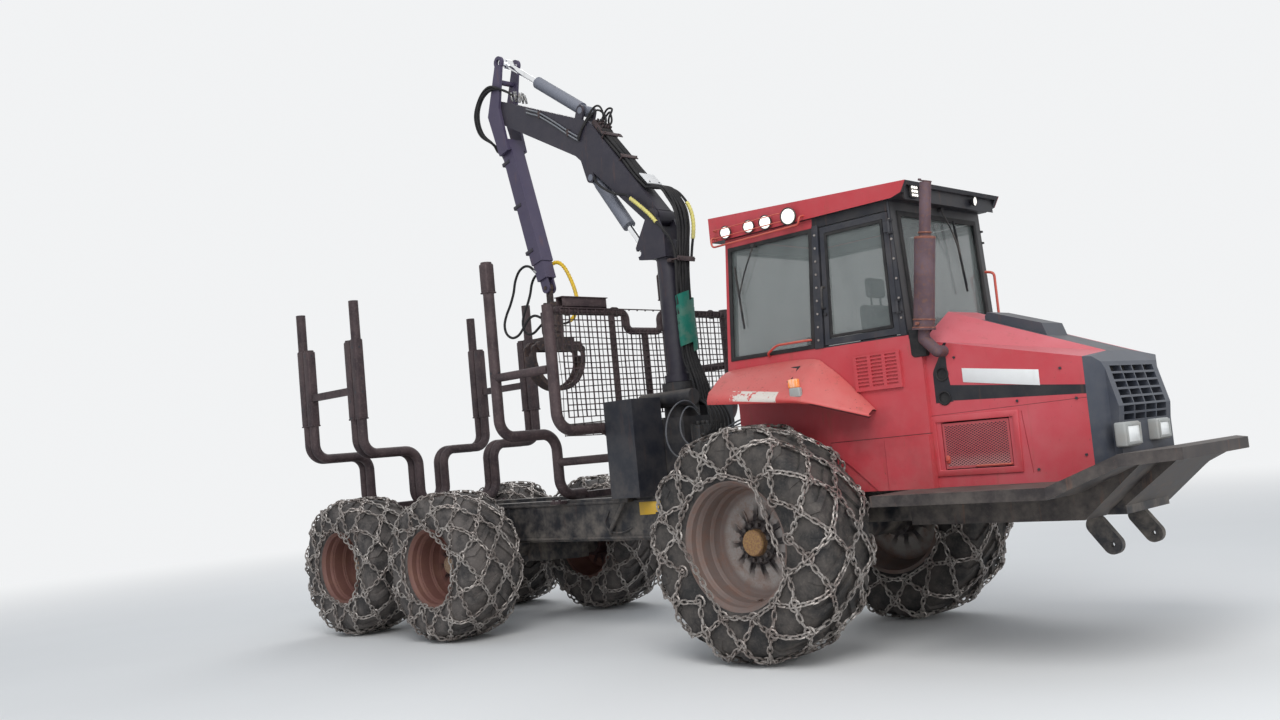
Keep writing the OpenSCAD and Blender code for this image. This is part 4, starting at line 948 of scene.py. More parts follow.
worn_paint("cab_red", RED, FADED_AND_LIT_RED, 0.22, 0.4, 0.38, marks=cab_marks)
worn_paint("hood_red", RED, (0.66, 0.15, 0.18), 0.18, 0.3, 0.34, marks=hood_marks)
worn_paint("roof_red", (0.44, 0.028, 0.036), (0.54, 0.09, 0.11), 0.2, 0.3, 0.36, marks=roof_marks)
worn_paint("fender_red", (0.5, 0.04, 0.04), (0.62, 0.14, 0.13), 0.25, 0.5, 0.38, marks=fender_marks)
worn_paint("mesh_red", (0.4, 0.05, 0.06), (0.5, 0.12, 0.13), 0.15, 0.2, 0.45, marks=mesh_marks)
dress_frame()

# %% [markdown]
# A rim is a deep steel dish: a rolled lip, a barrel that steps down twice, and a disc with the
# planetary hub in its middle. One outline of (y, radius) points spun round the axle gives all of
# it. The dirt on a wheel lies in rings and spokes, so the mesh also keeps each point's place from
# the middle of its wheel as an attribute, and the finish reads that.

# %% Rims
DISC_Y = {"front": -0.04, "rear": -0.05}
HUB_R = {"front": 0.15, "rear": 0.13}
NUTS = 12
RUST_ORANGE = (0.24, 0.125, 0.085)


def spoked_rust(name, barrel, disc, dark, cap):
    f = Finish(name)
    spot = f.node("ShaderNodeAttribute", {"attribute_name": "from_hub"}, out="Vector")
    x, z = (f.node("ShaderNodeSeparateXYZ", None, {0: spot}, out=name) for name in "XZ")
    radius = (x * x + z * z) ** 0.5
    angle = f.math("ARCTAN2", x, z)
    cloud = f.noise(9.0, 5, 0.65)
    fine = f.noise(70.0, 4, 0.7)
    steel = f.blend(radius.above(0.325, 0.03), disc, barrel)
    rusty = f.blend(cloud.above(0.55, 0.14) * 0.45 + fine.above(0.58, 0.1) * 0.3, steel, RUST_ORANGE)
    spokes = f.math("SINE", angle * float(NUTS) + cloud * 5.0).above(0.35, 0.3)
    soot = spokes * f.map_range(radius, 0.3, 0.17) + f.map_range(radius, 0.2, 0.155) * 0.8
    grimy = f.blend(f.math("MINIMUM", soot, 0.93), rusty, dark)
    capped = f.blend(f.map_range(radius, 0.1, 0.088), grimy,
                     f.blend(fine.above(0.5, 0.2), cap, RUST_ORANGE))
    ring = f.math("SINE", radius * 150.0) * 0.08
    f.done({"Metallic": 0.2, "Specular IOR Level": 0.4}, Base_Color=capped,
           Roughness=0.5 + cloud * 0.3 + ring,
           Normal=f.bump(cloud * 0.4 + fine * 0.6, 0.45, 0.0025))


spoked_rust("front_rim", (0.2, 0.155, 0.14), (0.36, 0.33, 0.31), (0.022, 0.018, 0.02),
            (0.44, 0.27, 0.1))
spoked_rust("rear_rim", (0.2, 0.105, 0.09), (0.19, 0.085, 0.07), (0.04, 0.025, 0.026),
            (0.4, 0.31, 0.2))


def keep_place(obj, centre):
    """Stores where each point lies from the middle of its wheel."""
    layer = obj.data.attributes.new("from_hub", "FLOAT_VECTOR", "POINT")
    for vertex, item in zip(obj.data.vertices, layer.data):
        item.vector = vertex.co - Vector(centre)


def rim_outline(rim, disc, hub):
    face = [(0.262, rim + 0.024), (0.267, rim + 0.017), (0.264, rim + 0.007), (0.25, rim - 0.001),
            (0.236, rim - 0.012), (0.19, rim - 0.014), (0.18, rim - 0.021), (0.166, rim - 0.028),
            (0.16, rim - 0.022), (0.15, rim - 0.03), (0.062, rim - 0.034), (0.05, rim - 0.044),
            (0.044, rim - 0.038), (0.034, rim - 0.048), (disc + 0.05, rim - 0.05),
            (disc + 0.024, rim - 0.062), (disc + 0.016, rim - 0.085), (disc + 0.02, hub + 0.05),
            (disc + 0.03, hub + 0.008), (disc + 0.052, hub), (disc + 0.058, hub - 0.008),
            (disc + 0.058, hub * 0.66), (disc + 0.066, hub * 0.62), (disc + 0.102, hub * 0.61),
            (disc + 0.112, hub * 0.56), (disc + 0.116, hub * 0.3), (disc + 0.117, 0.0)]
    back = [(disc - 0.13, 0.0), (disc - 0.13, hub), (disc - 0.014, hub), (disc - 0.014, rim - 0.075),
            (-0.25, rim - 0.012), (-0.262, rim - 0.012), (-0.262, rim + 0.024), (-0.25, rim + 0.024),
            (-0.25, rim - 0.001), (0.246, rim - 0.001), (0.25, rim + 0.024)]
    return face + back


def hub_parts(centre, side, disc, hub, kind):
    """Nuts in a ring, ribs that stiffen the disc, and a tyre valve."""
    bpy.ops.mesh.primitive_cylinder_add(vertices=6, radius=0.017, depth=0.034,
                                        rotation=(math.pi / 2, 0, 0))
    nut = bpy.context.object
    settle(nut)
    base = Vector(centre)
    nuts = []
    for i in range(NUTS):
        a = (i + 0.5) * 2 * math.pi / NUTS
        r = hub - 0.026
        at = base + Vector((r * math.sin(a), side * (disc + 0.066), r * math.cos(a)))
        nuts.append(Matrix.Translation(at) @ Matrix.Rotation(a + 0.3 * i, 4, "Y"))
    made = [copies(nut, nuts)]
    bpy.ops.mesh.primitive_cube_add(size=1.0)
    rib = bpy.context.object
    for vertex in rib.data.vertices:
        far = vertex.co.z > 0
        vertex.co = (vertex.co.x * 0.01, side * (0.5 + vertex.co.y) * (0.006 if far else 0.034),
                     0.11 if far else 0)
    ribs = []
    for i in range(NUTS):
        a = i * 2 * math.pi / NUTS
        at = base + Vector((hub * 0.99 * math.sin(a), side * (disc + 0.014), hub * 0.99 * math.cos(a)))
        ribs.append(Matrix.Translation(at) @ Matrix.Rotation(a, 4, "Y"))
    made.append(copies(rib, ribs))
    rim = RIM_RADIUS[kind]
    bpy.ops.mesh.primitive_cylinder_add(vertices=10, radius=0.007, depth=0.06,
                                        rotation=(math.pi / 2, 0, 0),
                                        location=base + Vector((0.05, side * 0.11, -rim + 0.048)))
    valve = bpy.context.object
    settle(valve)
    return made + [valve]


def add_rim(wheel):
    kind = "front" if "front" in wheel else "rear"
    side = -1 if wheel.endswith("right") else 1
    centre = wheel_centre("rim_" + wheel)
    middle = (centre[0], side * abs(centre[1]), centre[2])
    outline = [(side * y, r) for y, r in rim_outline(RIM_RADIUS[kind], DISC_Y[kind], HUB_R[kind])]
    dish = spun(outline, middle, 72)
    rim = join_all([dish] + hub_parts(middle, side, DISC_Y[kind], HUB_R[kind], kind))
    keep_place(rim, middle)
    smooth(rim, 32)
    return finish_piece(rim, "steel_" + wheel, kind + "_rim", "wheel_" + wheel, ["rim_" + wheel])


for wheel in WHEELS:
    add_rim(wheel)
print("rims:", len(WHEELS))

# %% [markdown]
# Small fittings come up again and again: bent tubes, flat plates, window seals and bolt heads.
# A tube is a curve with a round bevel, turned into a mesh. A plate is a plane whose corners are
# put in place, given a wall with Solidify and soft edges with Bevel. A seal is the same plane
# inset first, with its middle taken out.

# %% Tubes, plates, seals and bolts
def rounded(points, radius, steps=4):
    """The same path with its corners turned into arcs."""
    points = [Vector(p) for p in points]
    path = [points[0]]
    for before, at, after in zip(points, points[1:], points[2:]):
        back, ahead = before - at, after - at
        cut = min(radius, back.length * 0.48, ahead.length * 0.48)
        a, b = at + back.normalized() * cut, at + ahead.normalized() * cut
        for k in range(steps + 1):
            t = k / steps
            path.append(a * (1 - t) ** 2 + at * 2 * t * (1 - t) + b * t ** 2)
    return path + [points[-1]]


def flowing(points, steps=6):
    """A smooth path through the points."""
    points = [Vector(p) for p in points]
    ends = [2 * points[0] - points[1]] + points + [2 * points[-1] - points[-2]]
    path = []
    for p, a, b, n in zip(ends, ends[1:], ends[2:], ends[3:]):
        for k in range(steps):
            t = k / steps
            path.append(0.5 * (2 * a + (b - p) * t + (2 * p - 5 * a + 4 * b - n) * t ** 2
                               + (3 * a - p - 3 * b + n) * t ** 3))
    return path + [points[-1]]


def tubes(paths, radius, detail=2):
    """One mesh with a tube along each path."""
    curve = bpy.data.curves.new("tube", "CURVE")
    curve.dimensions = "3D"
    curve.bevel_depth = radius
    curve.bevel_resolution = detail
    curve.use_fill_caps = True
    for path in paths:
        spline = curve.splines.new("POLY")
        spline.points.add(len(path) - 1)
        for point, place in zip(spline.points, path):
            point.co = (*place, 1)
    only(new_object("tube", curve))
    bpy.ops.object.convert(target="MESH")
    obj = bpy.context.object
    tidy_shell(obj)
    smooth(obj, 50)
    return obj


def tube(path, radius, detail=2):
    return tubes([path], radius, detail)


def bent(side, points, bend, radius):
    """A tube with rounded corners, given as on the left side."""
    return tube(rounded([(x, side * y, z) for x, y, z in points], bend), radius)


def edge_bevel(obj, width, segments=2):
    bevel = obj.modifiers.new("edges", "BEVEL")
    bevel.width = width
    bevel.segments = segments
    bevel.limit_method = "ANGLE"
    bevel.angle_limit = math.radians(40)


def give_wall(obj, thick, soft, degrees=35):
    """Thickens a sheet to both sides, with soft edges where soft isn't 0."""
    wall = obj.modifiers.new("wall", "SOLIDIFY")
    wall.thickness = thick
    wall.offset = 0
    if soft:
        edge_bevel(obj, soft)
    apply_modifiers(obj)
    tidy_shell(obj)
    smooth(obj, degrees)
    return obj


def plate(corners, thick, soft=0.002, rim=None):
    """A flat plate through the corners; rim is the width that stays when its middle is taken out."""
    obj = outline_loop([Vector(c) for c in corners])
    edit_all(obj)
    bpy.ops.mesh.edge_face_add()
    if rim:
        bpy.ops.mesh.inset(thickness=rim, depth=0.0)
        bpy.ops.mesh.delete(type="FACE")
    bpy.ops.object.mode_set(mode="OBJECT")
    return give_wall(obj, thick, soft)


def seal(corners, width, thick, soft=0.003):
    """A frame of that width inside the corners."""
    return plate(corners, thick, soft, width)


def towards(out):
    """The turn that points Z along a direction."""
    return Vector(out).to_track_quat("Z", "Y").to_matrix().to_4x4()


def block(low, high, soft=0.004, segments=2):
    """A box between two corners with rounded edges."""
    bpy.ops.mesh.primitive_cube_add(size=1.0)
    obj = bpy.context.object
    for vertex in obj.data.vertices:
        vertex.co = [a + (b - a) * (c + 0.5) for a, b, c in zip(low, high, vertex.co)]
    edge_bevel(obj, soft, segments)
    apply_modifiers(obj)
    smooth(obj, 35)
    return obj


def side_block(side, low, high, soft=0.004, segments=2):
    """A block that is given as on the left side, put on either side."""
    y0, y1 = sorted((side * low[1], side * high[1]))
    return block((low[0], y0, low[2]), (high[0], y1, high[2]), soft, segments)


def pin(a, b, radius, sides=16, soft=0.0015):
    """A round bar from a to b with chamfered ends."""
    a, b = Vector(a), Vector(b)
    bpy.ops.mesh.primitive_cylinder_add(vertices=sides, radius=radius, depth=(b - a).length)
    obj = bpy.context.object
    obj.matrix_world = Matrix.Translation((a + b) / 2) @ towards(b - a)
    settle(obj)
    if soft:
        edge_bevel(obj, soft, 1)
        apply_modifiers(obj)
    smooth(obj, 35)
    return obj


def bolts(places, out, radius=0.01, high=0.007, sides=6):
    """Bolt heads at the places, standing out along one direction."""
    bpy.ops.mesh.primitive_cylinder_add(vertices=sides, radius=radius, depth=high)
    seed = bpy.context.object
    return copies(seed, [Matrix.Translation(Vector(p) + Vector(out) * high / 2) @ towards(out)
                         @ Matrix.Rotation(0.7 * i, 4, "Z") for i, p in enumerate(places)])


SIDE_NAME = {-1: "right", 1: "left"}


def both(make):
    """Makes a piece for the right side and for the left side."""
    return [make(side) for side in SIDE_NAME]


print("fitting helpers ready")

# %% [markdown]
# The cab's windows sit in black rubber, held by screwed black strips. The glass slants with the
# cab's side outline, so every corner here is an (x, z) point of that outline, and the same code
# makes the near side and the far side.

# %% Window rubber and pillar strips
CAB_SIDE = 0.6
PANE = ((1.172, 2.132), (1.948, 2.132), (2.026, 2.98), (1.246, 2.98))
PILLAR = ((1.95, 2.128), (2.026, 2.128), (2.078, 2.992), (2.028, 2.992))
FRONT_POST = ((2.651, 2.13), (2.7, 2.13), (2.668, 3.035), (2.655, 3.035))
FRONT_PANE = ((2.706, -0.525, 2.14), (2.706, 0.525, 2.14), (2.672, 0.525, 2.978), (2.672, -0.525, 2.978))
REAR_PANE = ((1.136, -0.525, 2.14), (1.136, 0.525, 2.14), (1.216, 0.525, 2.978), (1.216, -0.525, 2.978))


def on_side(side, flat, y):
    return [(x, side * y, z) for x, z in flat]


def add_window_rubber(side):
    name = SIDE_NAME[side]
    rubber = seal(on_side(side, PANE, CAB_SIDE + 0.001), 0.03, 0.014)
    finish_piece(rubber, "pane_rubber_" + name, "hose_rubber")
    strips = [plate(on_side(side, PILLAR, CAB_SIDE + 0.004), 0.01),
              plate(on_side(side, FRONT_POST, CAB_SIDE + 0.003), 0.008)]
    finish_piece(strips, "pillar_strip_" + name, "black_paint")
    heads = []
    for k in range(9):
        t = (k + 0.5) / 9
        heads.append((1.988 + 0.065 * t, side * (CAB_SIDE + 0.009), 2.14 + 0.83 * t))
    for k in range(6):
        t = (k + 0.5) / 6
        heads.append((2.676 - 0.014 * t, side * (CAB_SIDE + 0.007), 2.18 + 0.8 * t))
    finish_piece(bolts(heads, (0, side, 0), 0.0085, 0.006), "pillar_screws_" + name, "chain_steel")


both(add_window_rubber)
ends = join_all([seal([Vector(c) + Vector((0.004, 0, 0)) for c in FRONT_PANE], 0.034, 0.014),
                 seal([Vector(c) - Vector((0.004, 0, 0)) for c in REAR_PANE], 0.034, 0.014)])
finish_piece(ends, "end_window_rubber", "hose_rubber")
print("windows sealed")

# %% [markdown]
# Each door is a black frame with its own inner seal, a pull handle at the rear edge and a lock.
# They ride on the door, so they swing with it.

# %% Door fittings
DOOR_SEAL = ((2.086, 2.19), (2.6, 2.19), (2.6, 2.925), (2.122, 2.925))


def add_door_fittings(side):
    name = SIDE_NAME[side]
    body = "door_" + name
    finish_piece(seal(on_side(side, DOOR_SEAL, CAB_SIDE - 0.003), 0.02, 0.012), "door_rubber_" + name,
                 "hose_rubber", body)
    grip = [(2.066, 0.598, 2.4), (2.066, 0.634, 2.4), (2.078, 0.634, 2.55), (2.078, 0.598, 2.55)]
    lock = pin((2.068, side * 0.598, 2.36), (2.068, side * 0.612, 2.36), 0.013)
    finish_piece([bent(side, grip, 0.02, 0.008), lock], "door_handle_" + name, "black_plastic", body)


both(add_door_fittings)
print("doors fitted")

# %% [markdown]
# Two wipers rest on the glass: one on the near rear pane, hung from its top edge, and a long one
# on the front window, hung from the roof. Each is a thin arm, a sprung carrier and a blade.

# %% Wipers
def wiper(pivot, knuckle, low, high, out):
    pivot, knuckle, low, high, out = (Vector(v) for v in (pivot, knuckle, low, high, out))
    arm = tube(flowing([pivot, (pivot + knuckle) / 2 + out * 0.012, knuckle]), 0.006)
    blade = plate([low - out * 0.01, high - out * 0.01, high + out * 0.006, low + out * 0.006],
                  0.007, 0.001)
    spine = tube(flowing([low + (high - low) * 0.08 + out * 0.006, knuckle,
                          high + (low - high) * 0.08 + out * 0.006]), 0.004)
    hub = pin(pivot - out * 0.02, pivot + out * 0.012, 0.016)
    return join_all([arm, blade, spine, hub])


finish_piece(wiper((1.5, -0.618, 2.955), (1.318, -0.618, 2.6), (1.3, -0.612, 2.83), (1.335, -0.612, 2.36),
                   (0, -1, 0)), "side_wiper", "black_plastic")
finish_piece(wiper((2.705, 0.01, 3.02), (2.722, 0.185, 2.7), (2.706, 0.16, 2.95), (2.728, 0.215, 2.44),
                   (1, 0, 0)), "front_wiper", "black_plastic")
print("wipers on")

# %% [markdown]
# The roof carries four round work lamps on each side, with a thin red guard rail round them, a
# square lamp and a round one under the brow. A lamp is spun from an outline: a ribbed housing, a
# bezel, and a glass that bulges a little. The glass glows softly, because the lamps are on.

# %% Work lamps
ROOF_SIDE = 0.64
SIDE_LAMPS = ((1.29, 0.048), (1.515, 0.048), (1.67, 0.052), (1.88, 0.062))
LAMP_Z = 3.092


def lamp_pair(at, out, radius, deep):
    """The housing and the glass of a round lamp at a point, facing out."""
    turn = Matrix.Translation(Vector(at)) @ Vector(out).to_track_quat("Y", "Z").to_matrix().to_4x4()
    shell = spun([(0.0, 0.004), (0.0, radius * 0.55), (deep * 0.35, radius * 0.8), (deep * 0.6, radius),
                  (deep * 0.95, radius * 1.03), (deep, radius * 0.98), (deep * 0.97, radius * 0.9),
                  (deep * 0.8, radius * 0.88), (deep * 0.6, 0.004)], (0, 0, 0), 24)
    glass = spun([(deep * 0.78, 0.0), (deep * 0.78, radius * 0.88), (deep * 0.9, radius * 0.86),
                  (deep * 1.02, radius * 0.6), (deep * 1.08, radius * 0.3), (deep * 1.1, 0.0)],
                 (0, 0, 0), 24)
    for obj in (shell, glass):
        obj.matrix_world = turn
        settle(obj)
        smooth(obj, 40)
    return shell, glass


def add_work_lamps():
    pairs = [lamp_pair((x, side * (ROOF_SIDE + 0.001), LAMP_Z), (0.12, side, -0.05), radius, 0.038)
             for side in (-1, 1) for x, radius in SIDE_LAMPS]
    pairs.append(lamp_pair((2.795, 0.285, 3.081), (1, 0.1, -0.12), 0.034, 0.034))
    shells, glasses = [shell for shell, _ in pairs], [glass for _, glass in pairs]
    shells.append(block((2.794, -0.54, 3.038), (2.812, -0.455, 3.122), 0.004))
    bpy.ops.mesh.primitive_cylinder_add(vertices=10, radius=0.0095, depth=0.006)
    spots = [(2.814, -0.524 + 0.0265 * i, 3.054 + 0.0265 * k) for i in range(3) for k in range(3)]
    glasses.append(copies(bpy.context.object,
                          [Matrix.Translation(at) @ towards((1, 0, 0)) for at in spots]))
    finish_piece(shells, "lamp_shells", "black_plastic", "front_frame", ["work_lamps"])
    finish_piece(glasses, "lamp_glasses", "lit_glass")


lens("lit_glass", (0.93, 0.9, 0.8), 0.9)
add_work_lamps()


def add_lamp_guard(side):
    y, wall = ROOF_SIDE + 0.055, ROOF_SIDE - 0.002
    bars = [bent(side, [(1.165, wall, 3.075), (1.165, y, 3.06), (1.172, y, 2.995), (1.985, y, 3.008),
                        (1.992, y, 3.062), (1.992, wall, 3.075)], 0.03, 0.0075)]
    for z in (3.118, 3.058):
        bar = [(1.18, wall, z), (1.19, y, z), (1.815, y, z + 0.004), (1.815, wall, z + 0.004)]
        bars.append(bent(side, bar, 0.02, 0.004))
    finish_piece(bars, "lamp_guard_" + SIDE_NAME[side], "red_fittings")


worn_paint("red_fittings", (0.5, 0.045, 0.035), (0.56, 0.15, 0.1), 0.15, 0.5, 0.36)
both(add_lamp_guard)
print("lamps:", 2 * len(SIDE_LAMPS) + 2)

# %% [markdown]
# A hand rail runs along the foot of each rear side pane, another stands beside the front window,
# and a black rubber piece closes the corner between the cab and the hood, behind the exhaust.

# %% Rails and the corner rubber
def add_rails(side):
    name = SIDE_NAME[side]
    sill = bent(side, [(1.535, 0.598, 2.128), (1.55, 0.64, 2.145), (1.64, 0.64, 2.196),
                       (1.925, 0.636, 2.196), (1.925, 0.598, 2.196)], 0.03, 0.0085)
    finish_piece(sill, "sill_rail_" + name, "red_fittings")
    rubber = plate(on_side(side, [(2.712, 2.16), (2.716, 1.99), (2.735, 1.972), (2.828, 1.972),
                                  (2.842, 2.09), (2.79, 2.16)], 0.585), 0.05, 0.008)
    finish_piece(rubber, "corner_rubber_" + name, "hose_rubber")


both(add_rails)
grab = bent(1, [(2.702, 0.55, 2.28), (2.765, 0.56, 2.26), (2.765, 0.56, 2.585), (2.7, 0.55, 2.6)],
            0.03, 0.01)
finish_piece(grab, "front_grab_rail", "red_fittings")
print("rails on")

# %% [markdown]
# The air intake in the fender's slope has a thick rubber lip and wire mesh behind it. Ahead of it
# a small amber marker lamp stands on its base.

# %% Fender fittings
INTAKE_LIP = ((1.225, 0.683, 2.023), (1.872, 0.683, 2.014), (1.872, 0.815, 1.896), (1.225, 0.785, 1.925))
WIRE = 0.0022


def add_fender_fittings(side):
    name = SIDE_NAME[side]
    lip = [(x, side * y, z) for x, y, z in INTAKE_LIP]
    finish_piece(seal(lip, 0.026, 0.024, 0.008), "intake_lip_" + name, "hose_rubber")
    wires = []
    for k in range(13):
        x = 1.26 + 0.048 * k
        wires.append(tube([(x, side * 0.69, 2.0), (x, side * 0.8, 1.9)], WIRE, 0))
    for k in range(5):
        t = (k + 0.5) / 5
        y, z = 0.69 + 0.11 * t, 2.0 - 0.1 * t
        wires.append(tube([(1.235, side * y, z), (1.862, side * y, z)], WIRE, 0))
    finish_piece(wires, "intake_wires_" + name, "black_plastic")
    lamp = side_block(side, (1.905, 0.862, 1.795), (1.995, 0.902, 1.862), 0.01, 3)
    top = side_block(side, (1.88, 0.835, 1.862), (1.96, 0.875, 1.925), 0.01, 3)
    finish_piece(lamp, "marker_base_" + name, "pale_plastic")
    finish_piece(top, "marker_lamp_" + name, "amber_lens")


both(add_fender_fittings)
print("fenders fitted")

# %% [markdown]
# On each side of the hood a raised frame goes round the mesh panel, with a latch behind and a
# long handle below that ride on the panel. Two ports have rubber rings, and a blank white plate
# is fixed above the stripe.

# %% Hood fittings
HOOD_SIDE = 0.56
PANEL_FRAME = ((2.778, 1.18), (3.392, 1.18), (3.398, 1.566), (2.778, 1.572))
WHITE_PLATE = ((3.046, 1.774), (3.56, 1.7), (3.562, 1.797), (3.046, 1.865))
PORTS = ((2.9, 1.686), (2.9, 1.843))
HOOD_BOLTS = ((3.4, 1.62), (3.78, 1.6), (3.8, 1.26), (3.49, 1.19), (3.0, 1.94), (3.7, 1.79))
RING_TURN = {"X": (0, math.pi / 2, 0), "Y": (math.pi / 2, 0, 0), "Z": (0, 0, 0)}


def ring_at(at, radius, wire, axis="Y"):
    obj = torus(radius, wire, 28, 8)
    obj.location, obj.rotation_euler = at, RING_TURN[axis]
    settle(obj)
    smooth(obj, 60)
    return obj


def add_hood_fittings(side):
    name = SIDE_NAME[side]
    frame_strip = seal(on_side(side, PANEL_FRAME, HOOD_SIDE + 0.004), 0.04, 0.014, 0.004)
    finish_piece(frame_strip, "panel_frame_" + name, "red_paint")
    rings = [ring_at(at, 0.042, 0.006) for at in on_side(side, PORTS, HOOD_SIDE + 0.003)]
    rings += [pin((x, side * (HOOD_SIDE - 0.004), z), (x, side * (HOOD_SIDE - 0.012), z), 0.044)
              for x, z in PORTS]
    finish_piece(rings, "port_rings_" + name, "hose_rubber")
    blank = plate(on_side(side, WHITE_PLATE, HOOD_SIDE + 0.002), 0.003, 0.001)
    finish_piece(blank, "blank_plate_" + name, "white_plate")
    y = HOOD_SIDE + 0.014
    bar = [(3.075, 0.549, 1.236), (3.075, y, 1.236), (3.318, y, 1.236), (3.318, 0.549, 1.236)]
    catch = side_block(side, (2.862, 0.549, 1.262), (2.89, 0.566, 1.312))
    knob = pin((2.876, side * 0.56, 1.287), (2.876, side * 0.574, 1.287), 0.011)
    finish_piece([bent(side, bar, 0.012, 0.0055), catch, knob], "panel_handle_" + name, "red_fittings",
                 "side_panel_" + name)
    hinges = [pin((x, side * (HOOD_SIDE + 0.003), 1.548), (x + 0.07, side * (HOOD_SIDE + 0.003), 1.548),
                  0.008) for x in (2.9, 3.21)]
    finish_piece(hinges, "panel_hinges_" + name, "black_paint")


both(add_hood_fittings)
finish_piece([bolts(on_side(side, HOOD_BOLTS, HOOD_SIDE + 0.001), (0, side, 0), 0.009)
              for side in (-1, 1)], "hood_bolts", "black_paint")
print("hood fitted")

# %% [markdown]
# Behind the grille lies a dark radiator core, and two pale lamp boxes stand under it, above the
# bumper.

# %% Nose fittings
def add_nose_fittings():
    core = block((3.846, -0.42, 1.38), (3.856, 0.42, 1.8), 0.002)
    finish_piece(core, "radiator_core", "radiator")
    boxes, glasses = [], []
    for y0, y1, z0, z1 in ((-0.47, -0.245, 1.285, 1.432), (0.02, 0.215, 1.3, 1.432)):
        boxes.append(block((3.94, y0, z0), (4.01, y1, z1), 0.012, 3))
        boxes.append(seal([(4.012, y0 + 0.01, z0 + 0.01), (4.012, y1 - 0.01, z0 + 0.01),
                           (4.012, y1 - 0.01, z1 - 0.01), (4.012, y0 + 0.01, z1 - 0.01)],
                          0.016, 0.012, 0.002))
        glasses.append(block((4.0, y0 + 0.028, z0 + 0.026), (4.014, y1 - 0.028, z1 - 0.026), 0.005))
    finish_piece(boxes, "lamp_boxes", "pale_plastic")
    finish_piece(glasses, "lamp_box_glasses", "lamp_glass")


def radiator_fins(name):
    f = Finish(name)
    fins = f.node("ShaderNodeTexWave", {"wave_type": "BANDS", "bands_direction": "Y"},
                  {"Vector": f.place(), "Scale": 60.0})
    cloud = f.noise(8.0, 4, 0.6)
    coat = f.blend(fins * 0.5 + cloud * 0.3, (0.012, 0.012, 0.013), (0.06, 0.055, 0.05))
    f.done({"Metallic": 0.4}, Base_Color=coat, Roughness=0.5 + cloud * 0.2,
           Normal=f.bump(fins, 0.5, 0.002))


radiator_fins("radiator")
add_nose_fittings()
print("nose fitted")

# %% [markdown]
# The exhaust's silencer is clamped at its foot by a rusty ring with a bolt, and the stack ends in
# a small rain flap.

# %% Exhaust fittings
STACK_FOOT, STACK_TIP = Vector((2.854, -0.64, 2.152)), Vector((2.983, -0.64, 3.091))


def add_exhaust_fittings():
    up = (STACK_TIP - STACK_FOOT).normalized()
    foot = [ring_at((0, 0, 0), 0.069, 0.008, "Z"), ring_at((0, 0, 0.055), 0.069, 0.005, "Z"),
            pin((0.0, -0.07, 0.028), (0.0, -0.098, 0.028), 0.012, 6),
            ring_at((0, 0, 0.585), 0.06, 0.011, "Z"), ring_at((0, 0, 0.62), 0.04, 0.006, "Z")]
    clamp = join_all(foot)
    turn = Matrix.Translation(STACK_FOOT) @ Vector((0, 0, 1)).rotation_difference(up).to_matrix().to_4x4()
    clamp.matrix_world = turn
    finish_piece(clamp, "stack_clamps", "rust_ring")
    flap = join_all([pin((-0.045, 0.0, 0.006), (-0.045, 0.0, 0.02), 0.012, 8),
                     pin((0.0, 0.0, 0.004), (0.0, 0.0, 0.01), 0.041, 24)])
    flap.matrix_world = Matrix.Translation(STACK_TIP) @ Matrix.Rotation(math.radians(16), 4, "Y")
    finish_piece(flap, "stack_flap", "rusty_pipe")


bare_rust("rust_ring", (0.3, 0.13, 0.09), (0.16, 0.06, 0.05), (0.38, 0.2, 0.14), 0.75)
add_exhaust_fittings()
print("exhaust fitted")

# %% [markdown]
# A fender is one pressed sheet. Across, it slopes out from the cab, turns over a rounded shoulder
# and ends in a lip; along, it thins to a point ahead of the step. Three smooth paths hold its top,
# its shoulder and its lip, and a grid is moved onto them before it gets its wall.

# %% Fenders
FENDER_TOP = ((1.18, 2.062), (1.87, 2.062), (2.04, 1.99), (2.22, 1.83), (2.395, 1.65))
FENDER_SHOULDER = ((1.18, 0.9, 1.905), (1.87, 0.908, 1.8), (2.04, 0.88, 1.765),
                   (2.22, 0.8, 1.702), (2.395, 0.69, 1.632))
FENDER_LIP = ((1.18, 0.932, 1.822), (1.87, 0.914, 1.77), (2.04, 0.884, 1.742),
              (2.22, 0.803, 1.68), (2.395, 0.692, 1.612))
FENDER_SHEET = 0.014
FENDER_ACROSS = 12


def fender_sheet(side):
    tops = flowing([(x, 0.602, z) for x, z in FENDER_TOP], 5)
    shoulders, lips = flowing(FENDER_SHOULDER, 5), flowing(FENDER_LIP, 5)
    along = len(tops) - 1
    bpy.ops.mesh.primitive_grid_add(x_subdivisions=along, y_subdivisions=FENDER_ACROSS, size=1.0)
    obj = bpy.context.object
    for vertex in obj.data.vertices:
        i = round((vertex.co.x + 0.5) * along)
        j = round((vertex.co.y + 0.5) * FENDER_ACROSS)
        top, shoulder, lip = tops[i], shoulders[i], lips[i]
        if j <= 8:
            t = j / 8
            at = top.lerp(shoulder, t) + Vector((0, 0, 0.03 * math.sin(math.pi * min(1.0, t * 1.1))
                                                 * (1 - i / along * 0.5)))
        elif j < FENDER_ACROSS:
            t = (j - 8) / (FENDER_ACROSS - 9)
            at = shoulder.lerp(lip, t) + Vector((0, 0.006 * math.sin(math.pi * t), 0))
        else:
            at = lip + Vector((0, -0.018, 0.004))
        vertex.co = (at.x, side * at.y, at.z)
    tidy_shell(obj)
    return give_wall(obj, FENDER_SHEET, 0.004, 40)


finish_piece(both(fender_sheet), "fender_sheets", "fender_red", "front_frame", ["fenders"])
print("fenders reach x", FENDER_TOP[-1][0])

# %% [markdown]
# The driver's seat faces the crane. Its cushion, back and headrest are upholstered pads: each
# starts as a block a little too small, is remeshed finely, and is blown up as cloth until its
# middle crowns and its sides pull in. The cap on how far a point may move keeps it in its place,
# and the sewn channels are pressed in last.

